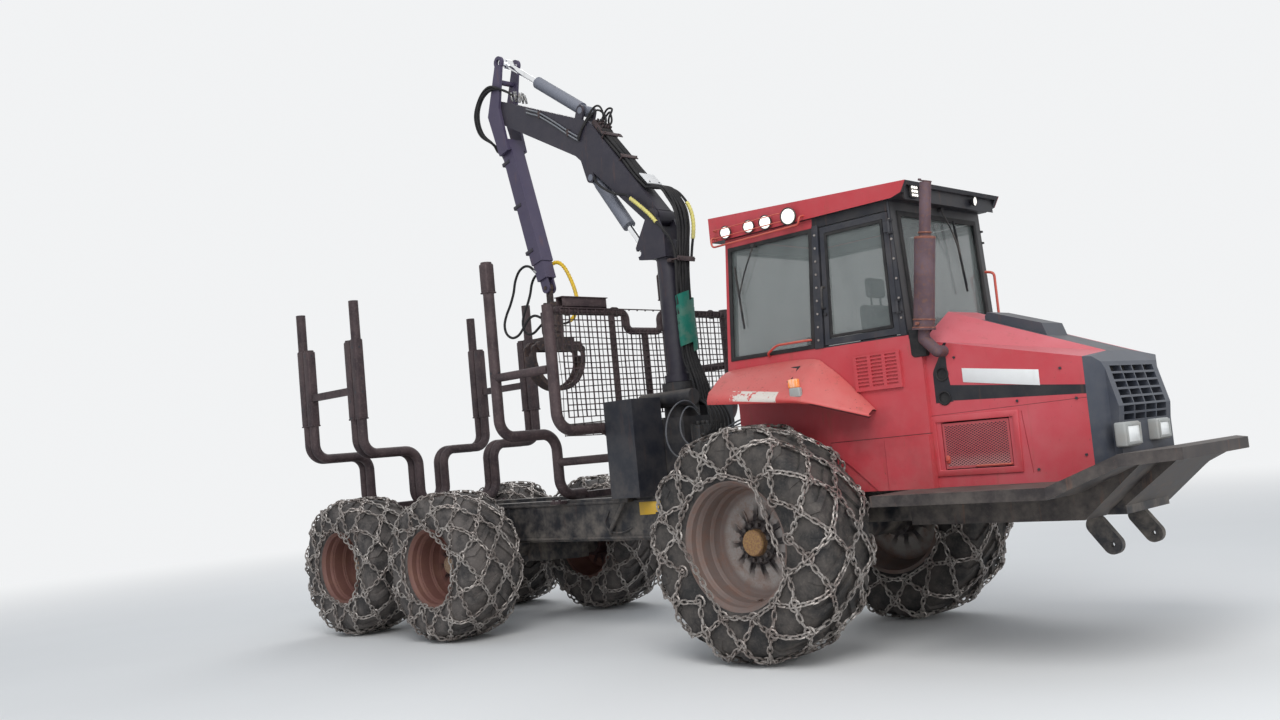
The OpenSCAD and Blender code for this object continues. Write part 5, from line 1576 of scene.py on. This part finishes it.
# %% Seat pads
PAD_VOXEL = 0.009
PAD_PRESSURE = 4.0
PAD_STEPS = 20
PAD_CAP = 0.014
SEAM_WIDTH = 0.006


def pad(low, high, soft, seams, name, replaced=()):
    """seams are (axis, place, depth): a channel is pressed in where that coordinate has that value."""
    obj = block(low, high, soft, 4)
    remesh = obj.modifiers.new("remesh", "REMESH")
    remesh.mode = "VOXEL"
    remesh.voxel_size = PAD_VOXEL
    apply_modifiers(obj)
    start = [vertex.co.copy() for vertex in obj.data.vertices]
    cloth = obj.modifiers.new("cloth", "CLOTH")
    cloth.settings.use_pressure = True
    cloth.settings.uniform_pressure_force = PAD_PRESSURE
    cloth.settings.effector_weights.gravity = 0
    for step in range(1, PAD_STEPS + 1):
        bpy.context.scene.frame_set(step)
    apply_modifiers(obj)
    bpy.context.scene.frame_set(1)
    for vertex, was in zip(obj.data.vertices, start):
        moved = vertex.co - was
        if moved.length > PAD_CAP:
            vertex.co = was + moved * (PAD_CAP / moved.length)
    normals = [vertex.normal.copy() for vertex in obj.data.vertices]
    for vertex, normal in zip(obj.data.vertices, normals):
        for axis, place, depth in seams:
            vertex.co -= normal * depth * math.exp(-((vertex.co[axis] - place) / SEAM_WIDTH) ** 2)
    finer = obj.modifiers.new("finer", "SUBSURF")
    finer.levels = finer.render_levels = 1
    apply_modifiers(obj)
    smooth(obj, 70)
    finish_piece(obj, name, "seat_cloth", replaced=replaced)
    return obj


pad((1.63, -0.21, 1.792), (2.04, 0.21, 1.882), 0.035,
    [(1, -0.125, 0.005), (1, 0.125, 0.005), (0, 1.76, 0.004), (0, 1.9, 0.004)],
    "seat_cushion", ["seat"])
pad((2.066, -0.205, 1.88), (2.142, 0.205, 2.445), 0.034,
    [(1, -0.12, 0.005), (1, 0.12, 0.005), (2, 2.05, 0.004), (2, 2.22, 0.004)], "seat_back")
pad((2.076, -0.108, 2.485), (2.13, 0.108, 2.632), 0.025, [(2, 2.515, 0.003)], "seat_headrest")
print("seat pads ready")

# %% [markdown]
# Under the cushion stand a pan, a rubber bellows round the spring and a foot plate. Two arms with
# their pads, and a stick with a ball grip on each console, make it a working place.

# %% Seat frame and controls
def add_seat_frame():
    parts = [block((1.63, -0.215, 1.755), (2.09, 0.215, 1.785), 0.01),
             block((1.66, -0.19, 1.15), (2.08, 0.19, 1.185), 0.008)]
    for k in range(7):
        low = 1.2 + 0.075 * k
        inset = 0.012 if k % 2 else 0.0
        parts.append(block((1.68 + inset, -0.17 + inset, low), (2.06 - inset, 0.17 - inset, low + 0.066),
                           0.016, 2))
    parts.append(block((1.7, -0.15, 1.18), (2.04, 0.15, 1.76), 0.01))
    parts += [pin((2.1, y, 2.43), (2.1, y, 2.5), 0.008) for y in (-0.06, 0.06)]
    finish_piece(parts, "seat_frame", "black_plastic", "front_frame", ["seat"])
    arms = []
    for side in (-1, 1):
        arms.append(bent(side, [(2.1, 0.255, 1.8), (2.1, 0.255, 2.03), (1.72, 0.255, 2.03)], 0.05, 0.011))
        arms.append(side_block(side, (1.7, 0.229, 2.04), (1.98, 0.281, 2.07), 0.01, 3))
    finish_piece(arms, "seat_arms", "black_plastic")
    sticks = []
    for side in (-1, 1):
        foot = Vector((1.74, side * 0.35, 2.08))
        sticks.append(pin(foot, foot + Vector((0, 0, 0.025)), 0.028, 20, 0.004))
        sticks.append(pin(foot, foot + Vector((-0.02, 0, 0.13)), 0.006))
        sticks.append(pin(foot + Vector((-0.012, 0, 0.075)), foot + Vector((-0.026, 0, 0.165)),
                          0.018, 16, 0.01))
        sticks.append(block((1.83, side * 0.35 - 0.035, 2.078), (1.99, side * 0.35 + 0.035, 2.09), 0.004))
    finish_piece(sticks, "control_sticks", "hose_rubber")


add_seat_frame()
print("seat frame and controls ready")

# %% [markdown]
# The crane is fed by a bundle of hoses. It climbs the pillar on the cab's side, bends round the
# boom's pin, lies in two layers on the boom and ends in a block of fittings below the jib
# cylinder. Each hose is one smooth tube, and the stretches at the two joints ride on no body.
# Lanes are worked out once, as steps across the crane.

# %% Hose bundle on the crane
HOSE_R = 0.0115
BOOM_FOOT, BOOM_ALONG, BOOM_OUT = (0.09, 3.572), (-0.6114, 0.7913), (0.7913, 0.6114)
LOWER_LANES = (-0.066, -0.04, -0.013, 0.013, 0.04, 0.066)
UPPER_LANES = (-0.053, -0.027, 0.0, 0.027, 0.053)


def on_boom(along, out, y):
    x = BOOM_FOOT[0] + along * BOOM_ALONG[0] + out * BOOM_OUT[0]
    z = BOOM_FOOT[1] + along * BOOM_ALONG[1] + out * BOOM_OUT[1]
    return (x, y, z)


def lane_paths(y, layer):
    """The lane's stretch on the pillar, its bend at the boom's pin and its run on the boom."""
    far = 0.024 * layer
    sway = 0.01 * math.sin(70.0 * y + 2 * layer)
    pillar = [(0.33 + far, y * 1.3, 1.9), (0.3 + far, y * 1.2, 2.06), (0.222 + far, y + sway * 0.4, 2.3),
              (0.212 + far, y, 2.56), (0.214 + far, y, 2.82), (0.228 + far + sway, y, 3.0),
              (0.236 + far, y, 3.118), (0.262 + far + sway, y, 3.27)]
    knee = [pillar[-1], (0.278 + far + sway, y * 1.1, 3.4), (0.262 + far + sway, y * 1.2, 3.54),
            (0.2 + far, y * 1.1, 3.66), (0.12 + far, y, 3.755), on_boom(0.26, 0.034 + far, y)]
    run = [knee[-1], on_boom(0.45, 0.016 + far, y), on_boom(0.7, 0.014 + far + abs(sway), y),
           on_boom(0.97, 0.016 + far, y), on_boom(1.1, 0.026 + far, y)]
    return flowing(pillar, 4), flowing(knee, 5), flowing(run, 4)


PILLAR_BEND = ("rear_frame", "pillar", (0.3, 0, 1.92), (0.22, 0, 2.3))
KNEE_BEND = ("pillar", "boom", (0.27, 0, 3.28), (-0.02, 0, 3.8))


def add_crane_bundle():
    stretches = ([], [], [])
    for layer, lanes in enumerate((LOWER_LANES, UPPER_LANES)):
        for y in lanes:
            for made, path in zip(stretches, lane_paths(y, layer)):
                made.append(path)
    bodies = (("hoses_pillar", PILLAR_BEND), ("hoses_knee", KNEE_BEND), ("hoses_boom", "boom"))
    for made, (name, body) in zip(stretches, bodies):
        finish_piece(tubes(made, HOSE_R), name, "hose_rubber", body)


add_crane_bundle()
print("hoses on the crane:", len(LOWER_LANES) + len(UPPER_LANES))

# %% [markdown]
# Two hoses at the boom's foot wear yellow spiral guards, one green strap winds round the bundle on
# the pillar, and clamps and a blank plate hold the bundle down. A spiral guard is a tube with a
# second, thin tube wound round it.

# %% Guards, wrap and clamps
def guard(path, radius, turns_per_metre=34.0):
    """A spiral guard: a sleeve with a coil on it."""
    path = [Vector(p) for p in path]
    coil, walked = [], 0.0
    for a, b in zip(path, path[1:]):
        ahead = (b - a).normalized()
        side = ahead.cross(Vector((0, 1, 0.01))).normalized()
        other = ahead.cross(side)
        steps = max(2, round((b - a).length * turns_per_metre * 8))
        for k in range(steps):
            t = k / steps
            turn = 2 * math.pi * turns_per_metre * (walked + t * (b - a).length)
            coil.append(a.lerp(b, t) + (side * math.cos(turn) + other * math.sin(turn)) * radius)
        walked += (b - a).length
    return join_all([tube(path, radius, 2), tube(coil, radius * 0.22, 0)])


def add_guards():
    side_hose = flowing([(-0.64, -0.098, 4.02), (-0.6, -0.108, 3.96), (-0.524, -0.12, 3.895),
                         (-0.42, -0.124, 3.83), (-0.33, -0.124, 3.79), (-0.24, -0.126, 3.765),
                         (-0.178, -0.13, 3.72)], 4)
    finish_piece(tube(side_hose, HOSE_R), "hose_side", "hose_rubber", "boom")
    near = flowing([(-0.178, -0.13, 3.72), (-0.11, -0.134, 3.665), (-0.032, -0.136, 3.598),
                    (0.04, -0.136, 3.53), (0.1, -0.13, 3.455)], 5)
    finish_piece(guard(near, 0.0165), "guard_near", "yellow_plastic", "boom")
    drop = flowing([(0.1, -0.13, 3.455), (0.17, -0.12, 3.37), (0.222, -0.098, 3.27),
                    (0.24, -0.086, 3.118), (0.222, -0.084, 2.82), (0.22, -0.084, 2.3),
                    (0.262, -0.082, 2.17), (0.296, -0.07, 2.07)], 5)
    finish_piece(tube(drop, HOSE_R), "hose_drop", "hose_rubber",
                 ("pillar", "boom", (0.24, 0, 3.15), (0.1, 0, 3.45)))
    over = flowing([(0.262, 0.086, 3.1), (0.286, 0.088, 3.22), (0.312, 0.09, 3.33), (0.322, 0.092, 3.43),
                    (0.304, 0.092, 3.54), (0.244, 0.09, 3.65), (0.15, 0.088, 3.74),
                    on_boom(0.3, 0.05, 0.086), on_boom(0.5, 0.03, 0.084), on_boom(0.8, 0.026, 0.084)], 5)
    finish_piece(tube(over, HOSE_R), "hose_over", "hose_rubber", KNEE_BEND)
    finish_piece(guard(over[8:24], 0.0165), "guard_far", "yellow_plastic", KNEE_BEND)


def add_wrap():
    """The strap winds up round the whole bundle, each turn a little over the last."""
    bpy.ops.mesh.primitive_grid_add(x_subdivisions=120, y_subdivisions=4, size=1.0)
    strap = bpy.context.object
    turns, low, high = 5.0, 2.375, 2.79
    for vertex in strap.data.vertices:
        t, w = vertex.co.x + 0.5, vertex.co.y
        turn = 2 * math.pi * turns * t
        out = 1.0 + 0.08 * w + 0.05 * math.sin(3.1 * turn)
        z = low + (high - low) * t + w * 0.105 + 0.012 * math.sin(turn)
        vertex.co = (0.224 + 0.05 * out * math.cos(turn), 0.094 * out * math.sin(turn), z)
    finish_piece(give_wall(strap, 0.004, 0, 50), "green_strap", "green_strap", "pillar")


def add_clamps():
    made = [block((0.15, -0.1, 3.098), (0.2, 0.1, 3.128), 0.004),
            block((0.276, -0.105, 3.092), (0.29, 0.105, 3.134), 0.004),
            pin((0.16, -0.094, 3.113), (0.3, -0.094, 3.113), 0.007),
            pin((0.16, 0.094, 3.113), (0.3, 0.094, 3.113), 0.007)]
    finish_piece(made, "pillar_clamp", "brown_clamp", "pillar")
    bars = []
    for along, wide in ((0.98, 0.13), (0.66, 0.098)):
        corners = [on_boom(along - 0.022, 0.058, -wide), on_boom(along + 0.022, 0.058, -wide),
                   on_boom(along + 0.022, 0.058, wide), on_boom(along - 0.022, 0.058, wide)]
        bars.append(plate(corners, 0.008))
        bars += [pin(on_boom(along, -0.004, y), on_boom(along, 0.074, y), 0.007, 6)
                 for y in (-0.084, 0.084)]
    finish_piece(bars, "boom_clamps", "brown_clamp", "boom")
    corners = [on_boom(0.245, 0.086, -0.09), on_boom(0.385, 0.08, -0.09), on_boom(0.385, 0.08, 0.09),
               on_boom(0.245, 0.086, 0.09)]
    lid = plate(corners, 0.012, 0.004)
    finish_piece(lid, "hose_plate", "white_plate", "boom")
    rivets = bolts([on_boom(0.262, 0.092, -0.06), on_boom(0.262, 0.092, 0.06)], (0.79, 0, 0.61),
                   0.007, 0.005)
    finish_piece(rivets, "hose_plate_bolts", "black_paint", "boom")


moulded("green_strap", (0.005, 0.16, 0.115), 0.5, 0.25)
bare_rust("brown_clamp", (0.085, 0.06, 0.062), (0.04, 0.03, 0.033), (0.14, 0.09, 0.07), 0.5)
add_guards()
add_wrap()
add_clamps()
print("guards, strap and clamps ready")

# %% [markdown]
# At the knee the bundle meets a block of fittings. Loops rise over it, and pipes go on along
# each flank to the boom's tip, where a nest of bright couplings feeds the hoses that loop round
# the tip into the stick.

# %% Couplings, pipes and tip hoses
FLANK_PIPE = ((-0.8, 4.43), (-0.93, 4.52), (-1.1, 4.65), (-1.3, 4.79), (-1.4, 4.838), (-1.48, 4.876))


def add_pipes():
    base = [block((-0.075, -0.074, 0.0), (0.075, 0.074, 0.045), 0.006)]
    base += [pin((x, y, 0.045), (x, y, 0.072), 0.011, 6) for x in (-0.045, 0.0, 0.045)
             for y in (-0.05, -0.017, 0.017, 0.05)]
    valve = join_all(base)
    along, out = Vector((BOOM_ALONG[0], 0, BOOM_ALONG[1])), Vector((BOOM_OUT[0], 0, BOOM_OUT[1]))
    valve.matrix_world = axes_at(Vector(on_boom(1.12, 0.006, 0)), along, Vector((0, -1, 0)), out)
    finish_piece(valve, "boom_fittings", "brown_clamp", "boom")
    loops, pipes, clips = [], [], []
    for side in (-1, 1):
        for k, drop in enumerate((0.0, 0.034)):
            y = side * (0.096 + 0.002 * k)
            start = on_boom(1.08 + 0.05 * k, 0.07, side * (0.03 + 0.03 * k))
            top = on_boom(1.15 + 0.05 * k, 0.15 + 0.03 * k, side * (0.045 + 0.03 * k))
            loops.append(tube(flowing([start, on_boom(1.09 + 0.05 * k, 0.12, side * 0.035), top,
                                       on_boom(1.22 + 0.04 * k, 0.12, side * 0.08), (-0.73, y, 4.5),
                                       (-0.8, y, 4.43 - drop)], 5), 0.0095))
            pipes.append(tube(flowing([(x, y, z - drop) for x, z in FLANK_PIPE], 3), 0.008))
        clips += [side_block(side, (x - 0.012, 0.083, z - 0.05), (x + 0.012, 0.108, z + 0.014), 0.003)
                  for x, z in (FLANK_PIPE[1], FLANK_PIPE[3])]
    finish_piece(loops, "knee_loops", "hose_rubber", "boom")
    finish_piece(pipes, "flank_pipes", "grey_plastic", "boom")
    finish_piece(clips, "pipe_clips", "brown_clamp", "boom")


def add_tip():
    nest = []
    for i in range(14):
        x = -1.62 - 0.016 * (i % 7)
        y = (-0.055, 0.02)[i // 7] + 0.018 * (i % 3)
        z = 4.985 + 0.4 * (-1.62 - x) + 0.02 * (i % 2)
        lean = Vector((random.uniform(-0.3, 0.3), random.uniform(-0.3, 0.3), 1)).normalized()
        nest.append(pin((x, y, z), Vector((x, y, z)) + lean * 0.055, 0.012, 6))
        nest.append(pin(Vector((x, y, z)) + lean * 0.05, Vector((x, y, z)) + lean * 0.085, 0.008, 8))
    finish_piece(nest, "tip_couplings", "bright_fittings", "boom")
    loops = []
    for k in range(4):
        y, far = -0.128 - 0.024 * (k % 2), 0.03 * (k // 2)
        loops.append(tube(flowing([(-1.69, -0.06 + 0.02 * k, 5.07), (-1.79, -0.1 - 0.01 * k, 5.15),
                                   (-1.93, y, 5.185 + far), (-2.07, y, 5.14 + far),
                                   (-2.15 - far, y, 5.03), (-2.165 - far, y * 0.95, 4.9),
                                   (-2.13 - far, y * 0.8, 4.78), (-2.065, y * 0.45, 4.69),
                                   (-2.02, -0.045 + 0.03 * k, 4.6)], 5), 0.0105))
    finish_piece(loops, "tip_hoses", "hose_rubber", ("boom", "stick", (-1.8, 0, 5.15), (-2.08, 0, 4.85)))


STICK_ALONG, STICK_BACK = Vector((0.2453, 0, -0.9694)), Vector((-0.9694, 0, -0.2453))
TIP_PIN = Vector((-1.95, 0, 4.99))


def on_stick(along, back, y):
    return TIP_PIN + STICK_ALONG * along + STICK_BACK * back + Vector((0, y, 0))


def add_stick_hoses():
    lanes = [tube(flowing([(-2.02, y, 4.6), on_stick(0.5, 0.09, y),
                           on_stick(0.95, 0.088 + 0.006 * math.sin(40 * y), y), on_stick(1.4, 0.088, y),
                           on_stick(1.6, 0.092, y * 0.9)], 4), 0.0105)
             for y in (-0.045, -0.015, 0.015, 0.045)]
    finish_piece(lanes, "stick_hoses", "hose_rubber", "stick")
    made = []
    for along in (0.55, 1.02, 1.5):
        strap = block((-0.11, -0.082, -0.018), (0.0, 0.082, 0.018))
        strap.matrix_world = axes_at(on_stick(along, 0, 0), -STICK_BACK, Vector((0, 1, 0)), -STICK_ALONG)
        settle(strap)
        made.append(strap)
    finish_piece(made, "stick_straps", "crane_paint", "stick")


bare_rust("bright_fittings", (0.42, 0.43, 0.44), (0.2, 0.2, 0.2), (0.3, 0.25, 0.2), 0.3, 0.8)
add_pipes()
add_tip()
add_stick_hoses()
print("pipes and tip hoses ready")

# %% [markdown]
# Two thick hoses and one in a yellow guard hang between the end of the stick and the rotator.
# They are free between their two ends, and each one's length is printed. No bend is much tighter
# than four diameters.

# %% Rotator hoses
ROTATOR_HOSE = 0.025
ROTATOR_ROUTES = {
    "rotator_hose_1": ((-1.6, -0.062, 3.33), (-1.65, -0.075, 3.38), (-1.715, -0.088, 3.392),
                       (-1.79, -0.098, 3.355), (-1.846, -0.106, 3.27), (-1.88, -0.112, 3.16),
                       (-1.935, -0.12, 3.05), (-2.0, -0.124, 2.96), (-2.04, -0.124, 2.87),
                       (-2.025, -0.12, 2.785), (-1.955, -0.112, 2.735), (-1.87, -0.1, 2.75),
                       (-1.8, -0.088, 2.815), (-1.735, -0.075, 2.885), (-1.66, -0.06, 2.91),
                       (-1.585, -0.046, 2.88)),
    "rotator_hose_2": ((-1.59, 0.02, 3.29), (-1.65, 0.022, 3.312), (-1.712, 0.024, 3.29),
                       (-1.76, 0.024, 3.23), (-1.79, 0.022, 3.145), (-1.83, 0.016, 3.06),
                       (-1.88, 0.008, 2.975), (-1.91, 0.0, 2.89), (-1.893, -0.006, 2.806),
                       (-1.832, -0.008, 2.756), (-1.752, -0.008, 2.756), (-1.682, -0.006, 2.792),
                       (-1.635, -0.002, 2.82), (-1.588, 0.0, 2.835)),
}
GUARDED_ROUTE = ((-1.53, 0.075, 3.372), (-1.478, 0.092, 3.398), (-1.42, 0.102, 3.385),
                 (-1.362, 0.108, 3.33), (-1.31, 0.112, 3.24), (-1.262, 0.112, 3.13), (-1.232, 0.11, 3.02),
                 (-1.232, 0.102, 2.925), (-1.268, 0.088, 2.85), (-1.322, 0.07, 2.806),
                 (-1.378, 0.052, 2.795))
LINK_BEND = ("extension", "link", (-1.484, 0, 3.3), (-1.484, 0, 3.0))


def path_length(path):
    return sum((b - a).length for a, b in zip(path, path[1:]))


def hanging_hose(name, route, radius, look, body):
    path = flowing(route, 6)
    piece = finish_piece(tube(path, radius, 3), name, look, body)
    print(name, round(path_length(path), 3), "m")
    path_length(path)
    return path


def hose_end(path):
    return pin(path[0] + (path[0] - path[1]).normalized() * 0.03, path[1], 0.016, 6)


def add_rotator_hoses():
    ends = []
    for name, route in ROTATOR_ROUTES.items():
        path = hanging_hose(name, route, ROTATOR_HOSE / 2, "hose_rubber", LINK_BEND)
        ends.append(hose_end(path))
    path = hanging_hose("rotator_hose_3", GUARDED_ROUTE, 0.011, "hose_rubber", LINK_BEND)
    finish_piece(guard(path[3:-7], 0.0175, 30.0), "guard_low", "bright_yellow", LINK_BEND)
    ends.append(hose_end(path))
    finish_piece(ends, "extension_fittings", "bright_fittings", "extension")


moulded("bright_yellow", (0.8, 0.52, 0.03), 0.42, 0.2)
add_rotator_hoses()
print("rotator hoses ready")

# %% [markdown]
# The stakes are bent tubes with square sleeves over their upright part, drilled for pins. The
# gate's own wires are joined by a second set half a pitch away, a little wavy from years of
# knocks, and a channel lies on the rail.

# %% Sleeves and gate
STAKE_Y = 1.1
SLEEVES = ((-3.144, 2.1, 2.885, 0.0488), (-4.156, 2.1, 2.885, 0.0488), (-3.256, 2.1, 2.87, 0.0488),
           (-4.044, 2.1, 2.87, 0.0488), (-1.03, 2.995, 3.25, 0.0488))
PIN_HOLES = ((-3.144, 2.49), (-3.144, 2.36), (-3.256, 2.28), (-3.256, 2.11), (-3.144, 2.8),
             (-4.156, 2.28), (-4.044, 2.82), (-1.03, 2.3))


def sleeve(x, y, low, high, half):
    obj = block((x - half, y - half, low), (x + half, y + half, high), 0.018, 3)
    smooth(obj, 40)
    return obj


def add_sleeves(side):
    name = SIDE_NAME[side]
    made = [sleeve(x, side * STAKE_Y, low, high, half) for x, low, high, half in SLEEVES]
    made += [sleeve(x, side * STAKE_Y, low - 0.006, low + 0.01, half + 0.0022)
             for x, low, high, half in SLEEVES]
    finish_piece(made, "sleeves_" + name, "stake_steel", "rear_frame")
    # Each hole is a black bar through the sleeve, whose ends show as painted shade in the hole.
    holes = [pin((x, side * (STAKE_Y - 0.05), z), (x, side * (STAKE_Y + 0.05), z), 0.013, 12, 0.0)
             for x, z in PIN_HOLES]
    holes += [pin((x - 0.05, side * STAKE_Y, z), (x + 0.05, side * STAKE_Y, z), 0.011, 12, 0.0)
              for x, z in PIN_HOLES]
    finish_piece(holes, "pin_holes_" + name, "black_paint", "rear_frame")


def add_feet():
    """Gussets and bolts where each bent tube meets the frame."""
    made, heads = [], []
    for x in (-1.03, -3.144, -3.256, -4.044, -4.156):
        for side in (-1, 1):
            made.append(side_block(side, (x - 0.062, 0.47, 1.135), (x + 0.062, 0.56, 1.165), 0.005))
            heads += [(x + dx, side * 0.535, 1.165) for dx in (-0.04, 0.04)]
    made.append(bolts(heads, (0, 0, 1), 0.014, 0.014))
    finish_piece(made, "stake_feet", "stake_steel", "rear_frame")


GATE_X, WIRE_X, WIRE_R = -0.29, -0.2535, 0.0042
WIRE_PITCH = 0.1
GATE_TOP, DIP_TOP = 2.745, 2.585


def add_gate_wires():
    wires = []
    for i in range(-11, 11):
        y = (i + 0.5) * WIRE_PITCH
        high = DIP_TOP if abs(y) < 0.24 else GATE_TOP
        path = [(WIRE_X + 0.004 * math.sin(9 * z + i), y + 0.006 * math.sin(6.5 * z + 1.7 * i), z)
                for z in [1.7 + (high - 1.7) * k / 12 for k in range(13)]]
        wires.append(path)
    for k in range(-2, 9):
        z = 1.904 + k * WIRE_PITCH
        spans = ((-1.07, -0.25), (0.25, 1.07)) if z > DIP_TOP - 0.02 else ((-1.07, 1.07),)
        for a, b in spans:
            path = [(WIRE_X + 0.007 + 0.003 * math.sin(8 * y + k), y,
                     z + 0.006 * math.sin(5.5 * y + 2.1 * k))
                    for y in [a + (b - a) * q / 16 for q in range(17)]]
            wires.append(path)
    finish_piece(tubes(wires, WIRE_R, 0), "gate_wires", "wire_brown", "rear_frame")
    channel = [block((-0.33, -0.965, 2.758), (-0.25, -0.466, 2.772), 0.002),
               block((-0.33, -0.965, 2.76), (-0.322, -0.466, 2.846), 0.002),
               block((-0.258, -0.965, 2.76), (-0.25, -0.466, 2.846), 0.002),
               block((-0.342, -0.975, 2.842), (-0.238, -0.456, 2.85), 0.003)]
    finish_piece(channel, "gate_channel", "stake_steel", "rear_frame")
    ties = []
    for y in (-0.9, -0.36, -0.34, 0.36, 0.9):
        ties += [ring_at((GATE_X, y + 0.02 * k, 2.735), 0.037, 0.006, "X") for k in range(2)]
    finish_piece(ties, "gate_ties", "brown_clamp", "rear_frame")


bare_rust("wire_brown", (0.06, 0.048, 0.046), (0.028, 0.022, 0.022), (0.11, 0.08, 0.07), 0.6)
both(add_sleeves)
add_feet()
add_gate_wires()
print("stakes and gate dressed")

# %% [markdown]
# The rear frame carries a blank yellow plate, a strut and a bent rod on its side, and two flanges
# with stiffeners along it. Between the two frames stand the valves, and a pair of thin hoses hangs
# there in wide loops.

# %% Rear frame and hose loops
YELLOW = ((-0.09, 1.006), (0.16, 1.012), (0.16, 1.116), (-0.09, 1.112))


def add_frame_side(side):
    name = SIDE_NAME[side]
    y = side * 0.457
    finish_piece(plate(on_side(side, YELLOW, 0.4575), 0.003, 0.001), "yellow_plate_" + name,
                 "yellow_plate", "rear_frame")
    made = [bent(side, [(-0.2, 0.5, 1.15), (-0.42, 0.49, 0.9), (-0.46, 0.457, 0.86)], 0.03, 0.019),
            side_block(side, (-0.25, 0.455, 1.12), (-0.14, 0.54, 1.18), 0.008)]
    made += [tube(flowing([(-0.46, y, 1.05), (-0.5, side * 0.475, 0.95), (-0.44, side * 0.478, 0.88),
                           (-0.3, side * 0.474, 0.87), (-0.2, y, 0.9)], 5), 0.007)]
    for low, high in ((0.815, 0.835), (1.115, 1.135)):
        made.append(side_block(side, (-4.2, 0.457, low), (0.16, 0.468, high)))
    for x in (-3.7, -3.1, -2.4, -1.8):
        made.append(side_block(side, (x - 0.015, 0.457, 0.835), (x + 0.015, 0.466, 1.115)))
    finish_piece(made, "frame_side_" + name, "black_frame", "rear_frame")


def add_valves():
    made = []
    for k in range(6):
        y = -0.17 + 0.058 * k
        made.append(block((0.33, y, 1.42), (0.4, y + 0.052, 1.7), 0.005))
        made.append(pin((0.365, y + 0.026, 1.7), (0.365, y + 0.026, 1.735), 0.017, 8))
        made.append(pin((0.4, y + 0.026, 1.5), (0.43, y + 0.026, 1.5), 0.013, 6))
        made.append(pin((0.4, y + 0.026, 1.62), (0.43, y + 0.026, 1.62), 0.013, 6))
    made.append(block((0.3, -0.2, 1.15), (0.335, 0.2, 1.71), 0.006))
    finish_piece(made, "valve_bank", "engine_grey", "rear_frame")
    feeds = []
    for k in range(6):
        y = -0.112 + 0.05 * k
        feeds.append(flowing([(0.425, y, 1.62), (0.47, y, 1.66), (0.478, y * 0.9, 1.76),
                              (0.43, y * 0.8, 1.86), (0.35, y * 0.6, 1.905)], 5))
        feeds.append(flowing([(0.425, y, 1.5), (0.468, y, 1.46), (0.47, y * 0.9, 1.34),
                              (0.43, y * 0.8, 1.22), (0.4, y * 0.6, 1.1)], 5))
    finish_piece(tubes(feeds, 0.01), "valve_hoses", "hose_rubber", "rear_frame")


LOOP_ROUTES = {
    "loop_hose_1": ((0.44, -0.215, 1.83), (0.45, -0.3, 1.885), (0.46, -0.4, 1.9), (0.472, -0.51, 1.868),
                    (0.484, -0.61, 1.79), (0.496, -0.67, 1.68), (0.512, -0.682, 1.57),
                    (0.536, -0.64, 1.478), (0.58, -0.555, 1.44), (0.65, -0.47, 1.47), (0.74, -0.4, 1.56),
                    (0.85, -0.35, 1.65), (0.98, -0.33, 1.7), (1.12, -0.325, 1.715)),
    "loop_hose_2": ((0.44, -0.195, 1.78), (0.458, -0.27, 1.83), (0.478, -0.36, 1.85),
                    (0.498, -0.45, 1.815), (0.518, -0.52, 1.735), (0.54, -0.545, 1.64),
                    (0.57, -0.52, 1.56), (0.62, -0.46, 1.52), (0.69, -0.39, 1.545), (0.78, -0.32, 1.61),
                    (0.88, -0.28, 1.66), (1.0, -0.262, 1.69), (1.12, -0.258, 1.7)),
}


LOOP_HOSE = 0.013
LOOP_BEND = ("front_frame", "centre_joint", (1.05, 0, 1.6), (0.52, 0, 1.6))


def add_hose_loops():
    for name, route in LOOP_ROUTES.items():
        hanging_hose(name, route, LOOP_HOSE / 2, "pale_hose", LOOP_BEND)


worn_rubber("pale_hose", (0.1, 0.105, 0.12), (0.22, 0.21, 0.2), 0.5)
both(add_frame_side)
add_valves()
add_hose_loops()
print("rear frame dressed")
